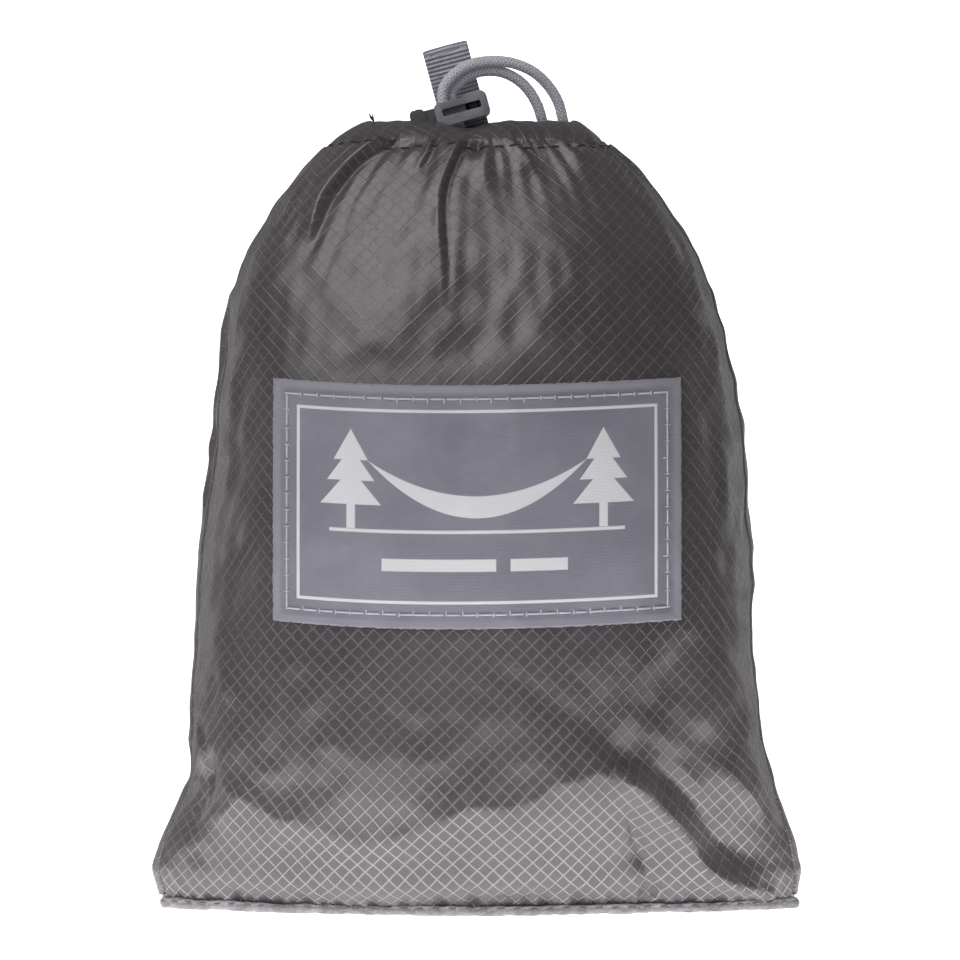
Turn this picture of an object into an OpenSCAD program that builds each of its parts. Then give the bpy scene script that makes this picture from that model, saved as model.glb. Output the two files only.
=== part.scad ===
// Packed camping hammock: a gathered-end hammock, its two rope loops and two
// wire-gate carabiners inside a drawstring stuff sack with a cord lock.
// Millimetres, +Z up, origin at the bottom centre, label facing -Y.

/* [Sack] */
// Width across the two bottom corners
sack_w = 137; // [134:0.5:140]
// Depth through the fullest part
sack_d = 69; // [67:0.5:72]
// Height of the gathered lip above the ground
sack_h = 168.7; // [167:0.1:170]
// Thickness of the soft shell
fabric_t = 1.0; // [0.8:0.1:1.1]
// Height of the drawcord casing round the mouth
casing_h = 5.2; // [5:0.1:5.6]

/* [Label] */
// Width of the woven label as it sits on the sack
label_w = 87; // [70:1:90]
// Height of the woven label
label_h = 51.5; // [40:0.5:54]
// Height of the label's centre above the ground
label_z = 88; // [84:1:92]

/* [Drawcord and webbing] */
// Diameter of the braided drawcord
cord_d = 2.3; // [2:0.1:2.3]
// Width of the webbing tab
webbing_w = 9.7; // [8:0.1:9.7]
// Thickness of one layer of webbing
webbing_t = 1.1; // [0.8:0.1:1.1]
// Lean of the cord lock and its tab
lock_tilt = 15; // [13:1:16]
// How far the lock's plunger can be pressed in
plunger_travel = 1.8; // [1:0.1:1.8]

/* [Carabiners] */
// Diameter of the carabiner's rod
rod_d = 6.4; // [5:0.1:6.4]
// Radius of the carabiner's round ends
end_r = 11.5; // [11:0.1:12]
// Length of the carabiner's straight spine
spine_l = 34; // [32:0.5:35]
// Diameter of the gate wire
wire_d = 1.6; // [1.2:0.1:1.6]

/* [Hidden] */

// ---- sack shape: height, half width and half depth as shares, squareness ----
neck_z = sack_h - casing_h;
profile = [
  [0.000, 0.968, 0.650, 1.5],
  [0.020, 0.974, 0.665, 1.5],
  [0.060, 1.000, 0.790, 1.5],
  [0.170, 0.925, 0.955, 1.8],
  [0.310, 0.879, 1.000, 2.1],
  [0.520, 0.858, 0.985, 2.3],
  [0.700, 0.815, 0.885, 2.3],
  [0.845, 0.730, 0.710, 2.2],
  [0.920, 0.630, 0.560, 2.2],
  [0.970, 0.535, 0.450, 2.2],
  [1.000, 0.462, 0.375, 2.2],
];
last_row = len(profile) - 1;
ring_sides = 48;
shell_levels = 27;
hem_h = 3.2;

function row_slope(i, k) =
  let (lo = max(i - 1, 0), hi = min(i + 1, last_row))
  (profile[hi][k] - profile[lo][k]) / (profile[hi][0] - profile[lo][0]);

function row_below(t, i = 0) =
  (i >= last_row - 1 || t < profile[i + 1][0]) ? i : row_below(t, i + 1);

// Smooth value of one profile column at height z
function shape(z, k) =
  let (t = min(max(z / neck_z, 0), 1), i = row_below(t),
       span = profile[i + 1][0] - profile[i][0],
       s = (t - profile[i][0]) / span)
  (2 * s ^ 3 - 3 * s ^ 2 + 1) * profile[i][k]
  + (s ^ 3 - 2 * s ^ 2 + s) * span * row_slope(i, k)
  + (3 * s ^ 2 - 2 * s ^ 3) * profile[i + 1][k]
  + (s ^ 3 - s ^ 2) * span * row_slope(i + 1, k);

function half_w(z) = shape(z, 1) * sack_w / 2;
function half_d(z) = shape(z, 2) * sack_d / 2;
function squareness(z) = shape(z, 3);

function signed_pow(v, p) = sign(v) * abs(v) ^ p;
function oval_point(a, b, n, t) =
  [a * signed_pow(cos(t), 2 / n), b * signed_pow(sin(t), 2 / n)];
function oval_normal(a, b, n, t) =
  let (step = 0.4,
       d = oval_point(a, b, n, t + step) - oval_point(a, b, n, t - step))
  [d[1], -d[0]] / norm(d);

// One level ring of the sack, set in from the outside by inset
function sack_ring(z, inset) =
  [for (j = [0 : ring_sides - 1])
    let (p = oval_point(half_w(z) - inset, half_d(z) - inset, squareness(z),
                        j * 360 / ring_sides))
    [p[0], p[1], z]];

// Front surface of the sack at width x and height z
function front_y(x, z) =
  -half_d(z) * (1 - (abs(x) / half_w(z)) ^ squareness(z)) ^ (1 / squareness(z));
function side_x(y, z, inset) =
  (half_w(z) - inset) * (1 - (abs(y) / (half_d(z) - inset)) ^ squareness(z)) ^ (1 / squareness(z));

// Closed solid through a list of rings with the same number of points
module loft(rings) {
  n = len(rings[0]);
  top = len(rings) - 1;
  sides = [for (i = [0 : top - 1], j = [0 : n - 1])
    let (a = i * n + j, b = i * n + (j + 1) % n, c = a + n, d = b + n)
    each [[a, d, b], [a, c, d]]];
  polyhedron(
    points = [for (r = rings) each r],
    faces = concat(sides, [[for (j = [0 : n - 1]) j]],
                   [[for (j = [0 : n - 1]) (top + 1) * n - 1 - j]]),
    convexity = 6);
}

// Closed ring solid: the same loft, joined end to end
module ring_loft(rings) {
  n = len(rings[0]);
  m = len(rings);
  faces = [for (i = [0 : m - 1], j = [0 : n - 1])
    let (a = i * n + j, b = i * n + (j + 1) % n,
         c = ((i + 1) % m) * n + j, d = ((i + 1) % m) * n + (j + 1) % n)
    each [[a, d, b], [a, c, d]]];
  polyhedron(points = [for (r = rings) each r], faces = faces, convexity = 6);
}

function unit(v) = v / norm(v);
function tangent(path, i) =
  unit(path[min(i + 1, len(path) - 1)] - path[max(i - 1, 0)]);

// Round tube along a path; lean is a direction that the path never follows
module tube(path, radius, sides, lean) {
  loft([for (i = [0 : len(path) - 1])
    let (t = tangent(path, i), u = unit(cross(lean, t)), w = cross(t, u))
    [for (k = [0 : sides - 1])
      path[i] + radius * (cos(k * 360 / sides) * u + sin(k * 360 / sides) * w)]]);
}

function arc_path(centre, radius, from, to, steps) =
  [for (i = [0 : steps])
    let (a = from + (to - from) * i / steps)
    centre + radius * [cos(a), sin(a)]];

// A straight stitch of thread lying along X before it is placed
thread_r = 0.22;
module stitch(length) {
  rotate([0, 90, 0]) cylinder(h = length, r = thread_r, center = true, $fn = 8);
}

// ---- sack ----
// Level heights: one at the ground, one at the hem's top, then evenly to the neck
function level_z(i) =
  i == 0 ? 0 : hem_h + (neck_z - hem_h) * (i - 1) / (shell_levels - 1);
module sack_body() {
  outer = [for (i = [0 : shell_levels]) sack_ring(level_z(i), 0)];
  inner = [for (i = [shell_levels : -1 : 0])
    sack_ring(max(level_z(i), fabric_t), fabric_t)];
  color("dimgray") loft(concat(outer, inner));
}

// Mouth casing: an inverted U of cloth leaning inwards, open to the seam below
casing_a = half_w(neck_z) - 2.1;
casing_b = half_d(neck_z) - 2.1;
casing_n = 2.2;
casing_half_t = 1.8;
casing_wall = 0.45;
casing_lean = 1.2;
function casing_section() =
  let (w = casing_half_t, g = casing_half_t - casing_wall, h = casing_h)
  [[w, 0], [w, h * 0.72], [w * 0.55, h], [-w * 0.55, h], [-w, h * 0.72], [-w, 0],
   [-g, 0], [-g, h * 0.68], [-g * 0.55, h - casing_wall], [g * 0.55, h - casing_wall],
   [g, h * 0.68], [g, 0]];
function casing_place(t, out, up) =
  let (p = oval_point(casing_a, casing_b, casing_n, t),
       m = oval_normal(casing_a, casing_b, casing_n, t),
       o = out - casing_lean * up / casing_h)
  [p[0] + m[0] * o, p[1] + m[1] * o, neck_z + up];
module mouth_casing() {
  color("dimgray") ring_loft([for (j = [0 : ring_sides - 1])
    [for (s = casing_section()) casing_place(-j * 360 / ring_sides, s[0], s[1])]]);
}

// Seam rolled to the front edge of the base, from corner to corner
hem_t = 1.9;
hem_gap = 0.1;
hem_stations = 44;
function hem_place(t, out, up) =
  let (a = half_w(hem_h), b = half_d(hem_h), n = squareness(0),
       p = oval_point(a, b, n, t), m = oval_normal(a, b, n, t))
  [p[0] + m[0] * out, p[1] + m[1] * out, up];
module bottom_hem() {
  section = [[hem_gap, 0], [hem_gap, hem_h], [hem_t * 0.6, hem_h],
             [hem_t, hem_h * 0.7], [hem_t, hem_h * 0.25], [hem_t * 0.7, 0]];
  color("gray") loft([for (i = [0 : hem_stations])
    let (t = 360 - 180 * i / hem_stations)
    [for (s = section) hem_place(t, s[0], s[1])]]);
}

// Stitched seam allowance inside each side of the sack
seam_t = 0.6;
seam_half_w = 1.3;
seam_gap = 0.25;
seam_foot = 5;
seam_head = 3;
seam_steps = 22;
module side_seam(side) {
  color("dimgray") loft([for (i = [0 : seam_steps])
    let (z = seam_foot + (neck_z - seam_foot - seam_head) * i / seam_steps,
         x = side_x(seam_half_w, z, fabric_t) - seam_gap)
    [[side * (x - seam_t), -side * seam_half_w, z], [side * x, -side * seam_half_w, z],
     [side * x, side * seam_half_w, z], [side * (x - seam_t), side * seam_half_w, z]]]);
}
module side_seam_left() side_seam(-1);
module side_seam_right() side_seam(1);

// Row of stitches under the casing, all the way round the mouth
casing_stitches = 46;
module casing_stitching() {
  z = neck_z - 1.2;
  out = 0.6;
  color("silver") for (i = [0 : casing_stitches - 1])
    let (t = (i + 0.5) * 360 / casing_stitches,
         p = oval_point(half_w(z), half_d(z), squareness(z), t),
         m = oval_normal(half_w(z), half_d(z), squareness(z), t))
    translate([p[0] + m[0] * out, p[1] + m[1] * out, z])
      rotate([0, 0, atan2(m[1], m[0]) + 90]) stitch(1.9);
}

// Row of stitches along the hem
hem_stitches = 42;
module hem_stitching() {
  color("silver") for (i = [0 : hem_stitches - 1])
    let (t = 190 + 160 * (i + 0.5) / hem_stitches,
         p = hem_place(t, hem_t + thread_r + 0.05, hem_h * 0.5),
         m = oval_normal(half_w(hem_h), half_d(hem_h), squareness(0), t))
    translate(p) rotate([0, 0, atan2(m[1], m[0]) + 90]) stitch(2.2);
}

// ---- label ----
label_t = 0.7;
label_gap = 0.2;
label_sag = 1.5;
function label_drop(x) = -label_sag * (1 - (2 * x / label_w) ^ 2);
function label_point(x, up, out) =
  let (z = label_z + up + label_drop(x)) [x, front_y(x, z) - out, z];
module label() {
  steps_x = 26;
  steps_z = 8;
  color("lightsteelblue") loft([for (i = [0 : steps_x])
    let (x = -label_w / 2 + label_w * i / steps_x)
    concat(
      [for (k = [0 : steps_z])
        label_point(x, -label_h / 2 + label_h * k / steps_z, label_gap)],
      [for (k = [steps_z : -1 : 0])
        label_point(x, -label_h / 2 + label_h * k / steps_z, label_gap + label_t)])]);
}

// Lockstitch round the label, set in from its edge
stitch_inset = 2.9;
stitch_pitch = 3.4;
module label_stitching() {
  half_x = label_w / 2 - stitch_inset;
  half_z = label_h / 2 - stitch_inset;
  out = label_gap + label_t + thread_r + 0.15;
  across = floor(2 * half_x / stitch_pitch);
  upward = floor(2 * half_z / stitch_pitch);
  color("white") {
    for (row = [-1, 1], i = [0 : across - 1])
      let (x = -half_x + (i + 0.5) * 2 * half_x / across,
           p = label_point(x, row * half_z, out),
           q = label_point(x + 0.5, row * half_z, out) - p)
      translate(p) rotate([0, -atan2(q[2], q[0]), atan2(q[1], q[0])]) stitch(2.4);
    for (side = [-1, 1], i = [0 : upward - 1])
      let (up = -half_z + (i + 0.5) * 2 * half_z / upward,
           p = label_point(side * half_x, up, out),
           q = label_point(side * half_x, up + 0.5, out) - p)
      translate(p) rotate([0, -90, atan2(q[1], q[0])]) stitch(2.4);
  }
}

// ---- drawcord: two strands from the knot, through the lock, to the casing ----
strand_a_route = [
  [-5.5, -3.2, 165.8], [-6.2, -3.2, 168.6], [-6.9, -3.2, 171.2], [-7.4, -3.2, 173.2],
  [-7.0, -3.2, 175.6], [-5.0, -3.1, 178.2], [-1.6, -2.6, 180.3], [3.0, -1.6, 181.1],
  [7.6, -0.4, 180.7], [11.8, 0.9, 179.0], [15.0, 2.1, 176.2], [17.2, 3.1, 172.8],
  [18.2, 3.8, 169.4], [18.6, 4.7, 167.0], [18.8, 6.6, 165.9], [18.9, 8.4, 165.9],
];
strand_b_route = [
  [-3.6, -1.0, 166.3], [-4.1, -1.0, 168.4], [-4.8, -1.0, 171.2], [-5.5, -1.0, 173.7],
  [-4.6, -0.9, 175.8], [-2.2, -0.7, 177.9], [1.2, -0.2, 179.0], [5.0, 0.6, 178.9],
  [8.4, 1.5, 177.4], [11.0, 2.3, 175.0], [12.8, 3.1, 172.0], [13.7, 3.8, 169.4],
  [14.2, 4.6, 167.2], [14.5, 6.6, 165.9], [14.7, 9.2, 165.9],
];
cord_lean = [0, 1, 1];
module drawcord_strand_a()
  color("lightgray") tube(strand_a_route, cord_d / 2, 8, cord_lean);
module drawcord_strand_b()
  color("lightgray") tube(strand_b_route, cord_d / 2, 8, cord_lean);

// The same cord where it runs inside the casing, with a gap at the two strands
ring_rings = 44;
module drawcord_ring() {
  start = 50;
  sweep = 340;
  up = 2.4;
  path = [for (i = [0 : ring_rings])
    casing_place(start - 3 - sweep * i / ring_rings, 0, up)];
  color("lightgray") tube(path, cord_d / 2, 8, [0, 0, 1]);
}

// Overhand knot that joins the two tails below the lock
knot_at = [-4.5, -2.1, 163.2];
knot_r = 2.8;
tail_l = 4.5;
module drawcord_knot() color("lightgray") {
  translate(knot_at) rotate_extrude($fn = 32)
    polygon(concat([[0, -knot_r]],
                   [for (i = [1 : 11]) knot_r * [sin(15 * i), -cos(15 * i)]],
                   [[0, knot_r]]));
  for (side = [-1, 1])
    translate(knot_at + [side * 1.3, 0, -1.5]) rotate([0, 180 - side * 8, 0])
      cylinder(h = tail_l, r = cord_d / 2, $fn = 16);
}

// ---- cord lock, in its own frame: X along the plunger, Z up the webbing ----
lock_at = [-5.8, -2.2, 170.3];
module at_lock() translate(lock_at) rotate([0, -lock_tilt, 0]) children();

lock_x0 = -3.2;
lock_x1 = 8.4;
lock_half_h = 2.8;
barrel_half_d = 4.4;
cavity_half_d = 3.5;
cavity_half_h = 1.7;
cavity_end = 7.0;
slot_d = 2.7;
bar_d = 1.4;

// Flat rounded rectangle from corner (x0, y0) to corner (x1, y1)
module round_rect(x0, y0, x1, y1, r) {
  translate([x0 + r, y0]) square([x1 - x0 - 2 * r, y1 - y0]);
  translate([x0, y0 + r]) square([x1 - x0, y1 - y0 - 2 * r]);
  for (x = [x0 + r, x1 - r], y = [y0 + r, y1 - r])
    translate([x, y]) circle(r = r, $fn = 32);
}

// Stand a flat outline upright and give it depth from y0 to y1
module upright(y0, y1) translate([0, y1, 0]) rotate([90, 0, 0]) linear_extrude(y1 - y0) children();

module cord_lock_body() color("slategray") at_lock() difference() {
  upright(-barrel_half_d, barrel_half_d + slot_d + bar_d) {
    round_rect(lock_x0, -lock_half_h, lock_x1, lock_half_h - 0.6, 1.1);
    round_rect(2.8, -lock_half_h, lock_x1, lock_half_h, 1.6);
  }
  // plunger cavity, open at the left end
  upright(-cavity_half_d, cavity_half_d)
    round_rect(lock_x0 - 2, -cavity_half_h, cavity_end, cavity_half_h, 0.4);
  // long window in the front wall
  upright(-barrel_half_d - 1, -cavity_half_d + 0.5)
    round_rect(-1.6, -0.75, cavity_end - 0.2, 0.75, 0.3);
  // passage for the two strands
  translate([0, 0, -5]) linear_extrude(10) round_rect(-2.15, -2.35, 2.55, 2.55, 1.1);
  // slot for the webbing
  translate([0, 0, -5]) linear_extrude(10)
    round_rect(-2.5, barrel_half_d, 7.5, barrel_half_d + slot_d, 0.3);
}

plunger_end = 3.5;
head_x0 = -8.6;
head_x1 = lock_x0 - plunger_travel - 0.3;
module cord_lock_plunger() color("dimgray") at_lock() difference() {
  union() {
    upright(-3.3, 3.3) round_rect(head_x1 - 1, -1.5, plunger_end, 1.5, 0.3);
    upright(-4, 4) round_rect(head_x0, -2.5, head_x1, 2.2, 1.2);
  }
  translate([0, 0, -5]) linear_extrude(10)
    round_rect(-2.2 - plunger_travel, -2.4, 2.65, 2.6, 1.0);
  // grip grooves on the top of the head
  for (x = [head_x0 + 1.3, head_x0 + 2.4])
    translate([x, 0, 2.4]) rotate([90, 0, 0]) cylinder(h = 10, r = 0.35, center = true, $fn = 16);
}

spring_turns = 3;
module cord_lock_spring() {
  steps = 14 * spring_turns;
  wire_r = 0.2;
  coil_r = 1.2;
  x0 = plunger_end + wire_r + 0.06;
  x1 = cavity_end - wire_r - 0.06;
  path = [for (i = [0 : steps])
    let (a = 360 * spring_turns * i / steps)
    [x0 + (x1 - x0) * i / steps, coil_r * cos(a), coil_r * sin(a)]];
  color("silver") at_lock() tube(path, wire_r, 6, [1, 0, 0]);
}

// ---- webbing tab: one folded strip through the lock's slot ----
webbing_x0 = -2.35;
fold_z = 11.9;
fold_r = 1.6;
leg_gap = 0.2;
leg_y = webbing_t / 2 + leg_gap / 2;
leg_end = -6.5;
webbing_y = barrel_half_d + slot_d / 2;
function webbing_path() = concat(
  [[-leg_y, leg_end], [-leg_y, 3.0], [-leg_y * 1.4, 5.2], [-fold_r, 8.4]],
  arc_path([0, fold_z], fold_r, 180, 0, 12),
  [[fold_r, 8.4], [leg_y * 1.4, 5.2], [leg_y, 3.0], [leg_y, leg_end]]);
module webbing_loop() {
  path = webbing_path();
  function side(i, out) =
    let (t = tangent(path, i)) path[i] + out * webbing_t / 2 * [-t[1], t[0]];
  count = len(path) - 1;
  color("slategray") at_lock() translate([webbing_x0, webbing_y, 0])
    rotate([90, 0, 90]) linear_extrude(webbing_w)
      polygon(concat([for (i = [0 : count]) side(i, 1)],
                     [for (i = [count : -1 : 0]) side(i, -1)]));
}

// Bar of zigzag stitches that joins the two legs below the lock
bartack_z = -4.9;
module webbing_bartack() {
  legs = 7;
  pitch = (webbing_w - 2) / legs;
  rise = 1.4;
  out = leg_y + webbing_t / 2 + thread_r + 0.05;
  color("silver") at_lock() for (face = [-1, 1], i = [0 : legs - 1])
    translate([webbing_x0 + 1 + (i + 0.5) * pitch, webbing_y + face * out, bartack_z])
      rotate([0, (i % 2 == 0 ? 1 : -1) * atan2(rise, pitch), 0])
        stitch(norm([pitch, rise]) * 0.8);
}

// ---- contents: the folded hammock, lying in the sack ----
bundle_top = 92.4;
bundle_inset = 3.1;
bundle_levels = 14;
module hammock_body() {
  low = fabric_t + 0.3;
  dome_from = 84;
  color("slategray") loft([for (i = [0 : bundle_levels])
    let (z = low + (bundle_top - low) * i / bundle_levels,
         dome = 26 * (max(z - dome_from, 0) / (bundle_top - dome_from)) ^ 3 / 4)
    sack_ring(z, bundle_inset + dome)]);
}

// ---- carabiner, rope loop and gathered end, lying along X in a flat plane ----
rod_r = rod_d / 2;
wire_r = wire_d / 2;
half_l = spine_l / 2;
hinge_x = -half_l + 4.5;
lug_half_t = 1.9;
rail_z = lug_half_t + wire_r + 0.2;
gate_arc_x = 10.5;

module bent_end(side) translate([side * half_l, 0, 0]) rotate([0, 0, -side * 90])
  rotate_extrude(angle = 180, $fn = 64) translate([end_r, 0]) circle(r = rod_r, $fn = 32);

module rod_along_x(x0, x1, y, r) translate([x0, y, 0]) rotate([0, 90, 0])
  cylinder(h = x1 - x0, r = r, $fn = 32);

module carabiner_frame() difference() {
  union() {
    rod_along_x(-half_l, half_l, -end_r, rod_r);
    bent_end(1);
    bent_end(-1);
    // hinge lug
    rod_along_x(-half_l - 0.01, -half_l + 1.4, end_r, rod_r);
    translate([-half_l, end_r - 2.4, -lug_half_t]) cube([4.5, 4.8, 2 * lug_half_t]);
    translate([hinge_x, end_r, -lug_half_t]) cylinder(h = 2 * lug_half_t, r = 2.4, $fn = 32);
    // nose with the lip that stops the gate
    rod_along_x(half_l - 2.2, half_l + 0.01, end_r, rod_r - 0.01);
    translate([gate_arc_x + 0.8, end_r + wire_r + 0.3, -lug_half_t])
      cube([half_l - gate_arc_x, 1.7, 2 * lug_half_t]);
  }
  translate([hinge_x, end_r, -5]) cylinder(h = 10, r = wire_r + 0.06, $fn = 32);
}

module wire_gate() translate([0, end_r, 0]) {
  for (face = [-1, 1]) {
    translate([hinge_x, 0, face * rail_z]) rotate([0, 90, 0])
      cylinder(h = gate_arc_x - hinge_x, r = wire_r, $fn = 24);
    translate([hinge_x, 0, face * rail_z]) sphere(r = wire_r, $fn = 24);
    translate([hinge_x, 0, face > 0 ? 0.6 : -rail_z])
      cylinder(h = rail_z - 0.6, r = wire_r, $fn = 24);
  }
  translate([gate_arc_x, 0, 0]) rotate([90, 0, 0]) rotate([0, 0, -90])
    rotate_extrude(angle = 180, $fn = 48) translate([rail_z, 0]) circle(r = wire_r, $fn = 24);
}

rope_r = 1.5;
rope_leg = 1.7;
rope_eye = rod_r + rope_r + 0.2;
eye_x = -half_l - end_r;
module suspension_rope() {
  half = [[-54, rope_leg], [-51, rope_leg], [-48, rope_leg], [-45, rope_leg],
          [-41.5, 2.3], [-38, 3.6], [-34, 4.6]];
  side_z = [for (p = half) [p[0], p[1] * rope_eye / 4.9]];
  turn = arc_path([eye_x, 0], rope_eye, 90, -90, 10);
  back = [for (i = [len(half) - 1 : -1 : 0]) [half[i][0], -half[i][1]]];
  flat = concat(half, turn, back);
  tube([for (p = flat) [p[0], 0, p[1]]], rope_r, 10, [0, 1, 0]);
}

// Thread wound round both legs of the rope
whip_x = -49;
whip_l = 5;
whip_t = 0.9;
module leg_outline(r) {
  square([2 * rope_leg, 2 * r], center = true);
  for (side = [-1, 1]) translate([side * rope_leg, 0]) circle(r = r, $fn = 32);
}
module rope_whipping() translate([whip_x, 0, 0]) rotate([0, 90, 0]) linear_extrude(whip_l)
  difference() {
    leg_outline(rope_r + whip_t);
    leg_outline(rope_r + 0.12);
  }

// Gathered end of the hammock's cloth, drawn in to the rope
gather_l = 17;
module end_gather() translate([whip_x - 0.1, 0, 0]) rotate([0, -90, 0])
  rotate_extrude($fn = 48) polygon(concat(
    [[0, 0], [3.6, 0]],
    [for (i = [0 : 10])
      let (s = i / 10) [3.6 + 4.4 * sin(90 * s), 1 + (gather_l - 6) * s]],
    [for (i = [1 : 6])
      let (a = 15 * i) [3.5 + 4.5 * cos(a), gather_l - 5 + 5 * sin(a)]],
    [[0, gather_l]]));

set_x = 14;
set_a_z = 101.2;
set_b_z = 116.4;
module set_a() translate([set_x, 0, set_a_z]) children();
module set_b() translate([-set_x, 0, set_b_z]) mirror([1, 0, 0]) children();

module end_gather_a() color("slategray") set_a() end_gather();
module end_gather_b() color("slategray") set_b() end_gather();
module suspension_rope_a() color("black") set_a() suspension_rope();
module suspension_rope_b() color("black") set_b() suspension_rope();
module rope_whipping_a() color("silver") set_a() rope_whipping();
module rope_whipping_b() color("silver") set_b() rope_whipping();
module carabiner_frame_a() color("gainsboro") set_a() carabiner_frame();
module carabiner_frame_b() color("gainsboro") set_b() carabiner_frame();
module wire_gate_a() color("silver") set_a() wire_gate();
module wire_gate_b() color("silver") set_b() wire_gate();

sack_body();
mouth_casing();
bottom_hem();
side_seam_left();
side_seam_right();
casing_stitching();
hem_stitching();
label();
label_stitching();
drawcord_ring();
drawcord_strand_a();
drawcord_strand_b();
drawcord_knot();
cord_lock_body();
cord_lock_plunger();
cord_lock_spring();
webbing_loop();
webbing_bartack();
hammock_body();
end_gather_a();
end_gather_b();
suspension_rope_a();
suspension_rope_b();
rope_whipping_a();
rope_whipping_b();
carabiner_frame_a();
carabiner_frame_b();
wire_gate_a();
wire_gate_b();
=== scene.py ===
from functools import reduce
import math

import bpy
import numpy as np
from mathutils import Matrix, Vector
from mathutils.bvhtree import BVHTree


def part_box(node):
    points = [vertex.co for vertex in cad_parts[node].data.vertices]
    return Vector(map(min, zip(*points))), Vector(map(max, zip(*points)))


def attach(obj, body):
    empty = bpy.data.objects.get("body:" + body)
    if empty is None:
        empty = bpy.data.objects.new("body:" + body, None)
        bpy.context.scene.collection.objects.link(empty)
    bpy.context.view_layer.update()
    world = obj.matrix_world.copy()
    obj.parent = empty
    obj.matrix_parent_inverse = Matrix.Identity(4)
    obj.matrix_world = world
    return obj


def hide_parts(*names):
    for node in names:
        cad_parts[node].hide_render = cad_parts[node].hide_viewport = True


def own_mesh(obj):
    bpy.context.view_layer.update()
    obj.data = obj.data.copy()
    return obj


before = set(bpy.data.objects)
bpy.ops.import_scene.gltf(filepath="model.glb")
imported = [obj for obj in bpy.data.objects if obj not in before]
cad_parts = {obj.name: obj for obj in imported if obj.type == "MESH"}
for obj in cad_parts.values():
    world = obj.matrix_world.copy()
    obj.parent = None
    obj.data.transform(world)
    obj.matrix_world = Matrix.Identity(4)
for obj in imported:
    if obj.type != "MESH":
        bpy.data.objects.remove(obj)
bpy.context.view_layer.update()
MM = 0.001
SACK = "stuff_sack"
CLOTH_UV = "cloth"
RIPSTOP_PITCH = 2.35 * MM
DIAGONAL = math.sqrt(0.5)
WEB_RIB = 0.86  # mm between the ribs of the webbing
ROPE_D = 3.0

# ---------------------------------------------------------------- sack shape
# Rows of the sack's outline: height, half width and half depth as shares, squareness.
CASING_H = 5.2
NECK_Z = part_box("sack_body")[1][2] / MM
HALF_W = 68.5
HALF_D = 34.5
PROFILE = np.array([
    [0.000, 0.968, 0.650, 1.5],
    [0.020, 0.974, 0.665, 1.5],
    [0.060, 1.000, 0.790, 1.5],
    [0.170, 0.925, 0.955, 1.8],
    [0.310, 0.879, 1.000, 2.1],
    [0.520, 0.858, 0.985, 2.3],
    [0.700, 0.815, 0.885, 2.3],
    [0.845, 0.730, 0.710, 2.2],
    [0.920, 0.630, 0.560, 2.2],
    [0.970, 0.535, 0.450, 2.2],
    [1.000, 0.462, 0.375, 2.2],
])
SLOPES = np.gradient(PROFILE, axis=0) / np.gradient(PROFILE[:, 0])[:, None]


def profile(z):
    """Half width, half depth and squareness of the sack at height z, in mm."""
    t = np.clip(np.asarray(z, float) / NECK_Z, 0, 1)
    i = np.clip(np.searchsorted(PROFILE[:, 0], t, side="right") - 1, 0, len(PROFILE) - 2)
    low, high = PROFILE[i], PROFILE[i + 1]
    span = high[..., :1] - low[..., :1]
    s = (t[..., None] - low[..., :1]) / span
    value = (
        (2 * s**3 - 3 * s**2 + 1) * low
        + (s**3 - 2 * s**2 + s) * span * SLOPES[i]
        + (3 * s**2 - 2 * s**3) * high
        + (s**3 - s**2) * span * SLOPES[i + 1]
    )
    return value[..., 1] * HALF_W, value[..., 2] * HALF_D, value[..., 3]


def signed_pow(v, p):
    return np.sign(v) * np.abs(v) ** p


def oval(a, b, n, t):
    """Point on the sack's oval at angle t."""
    return a * signed_pow(np.cos(t), 2 / n), b * signed_pow(np.sin(t), 2 / n)


def even_oval(a, b, n, share):
    """Points at even steps of length round an oval, from its left side by way of the front."""
    t = np.linspace(np.pi, 3 * np.pi, 1441)
    x, y = oval(a, b, n, t)
    length = np.concatenate([[0], np.cumsum(np.hypot(np.diff(x), np.diff(y)))])
    at = np.interp(np.mod(share, 1) * length[-1], length, t)
    px, py = oval(a, b, n, at)
    return px, py, length[-1]


def smooth(lo, hi, v):
    s = np.clip((v - lo) / (hi - lo), 0, 1)
    return s * s * (3 - 2 * s)


def hump(v, centre, width):
    return np.exp(-(((v - centre) / width) ** 2))


def soft_line(points, per=12):
    """A smooth line through the points."""
    p = np.asarray(points, float)
    ends = np.vstack([2 * p[0] - p[1], p, 2 * p[-1] - p[-2]])
    s = np.linspace(0, 1, per, endpoint=False)[:, None]
    parts = []
    for k in range(len(p) - 1):
        a, b, c, d = ends[k : k + 4]
        parts.append(0.5 * (2 * b + (c - a) * s + (2 * a - 5 * b + 4 * c - d) * s**2
                            + (3 * b - a - 3 * c + d) * s**3))
    return np.vstack(parts + [p[-1:]])


def ripple(u, v, seed, waves, lo, hi):
    """Smooth uneven field of about -1 to 1, from waves of lengths lo to hi."""
    rng = np.random.default_rng(seed)
    total = 0
    for _ in range(waves):
        turn = rng.uniform(0, 2 * np.pi)
        k = 2 * np.pi / rng.uniform(lo, hi)
        total = total + np.sin(k * (u * np.cos(turn) + v * np.sin(turn)) + rng.uniform(0, 6.28))
    return total / np.sqrt(waves)


# ---------------------------------------------------------------- mesh helpers
def linked(name, data):
    """A new object of the scene that shows the given data."""
    obj = bpy.data.objects.new(name, data)
    bpy.context.scene.collection.objects.link(obj)
    return obj


def length_along(path):
    """Length from the first point of a path to each of its points."""
    return np.concatenate([[0], np.cumsum(np.linalg.norm(np.diff(path, axis=0), axis=1))])


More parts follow.
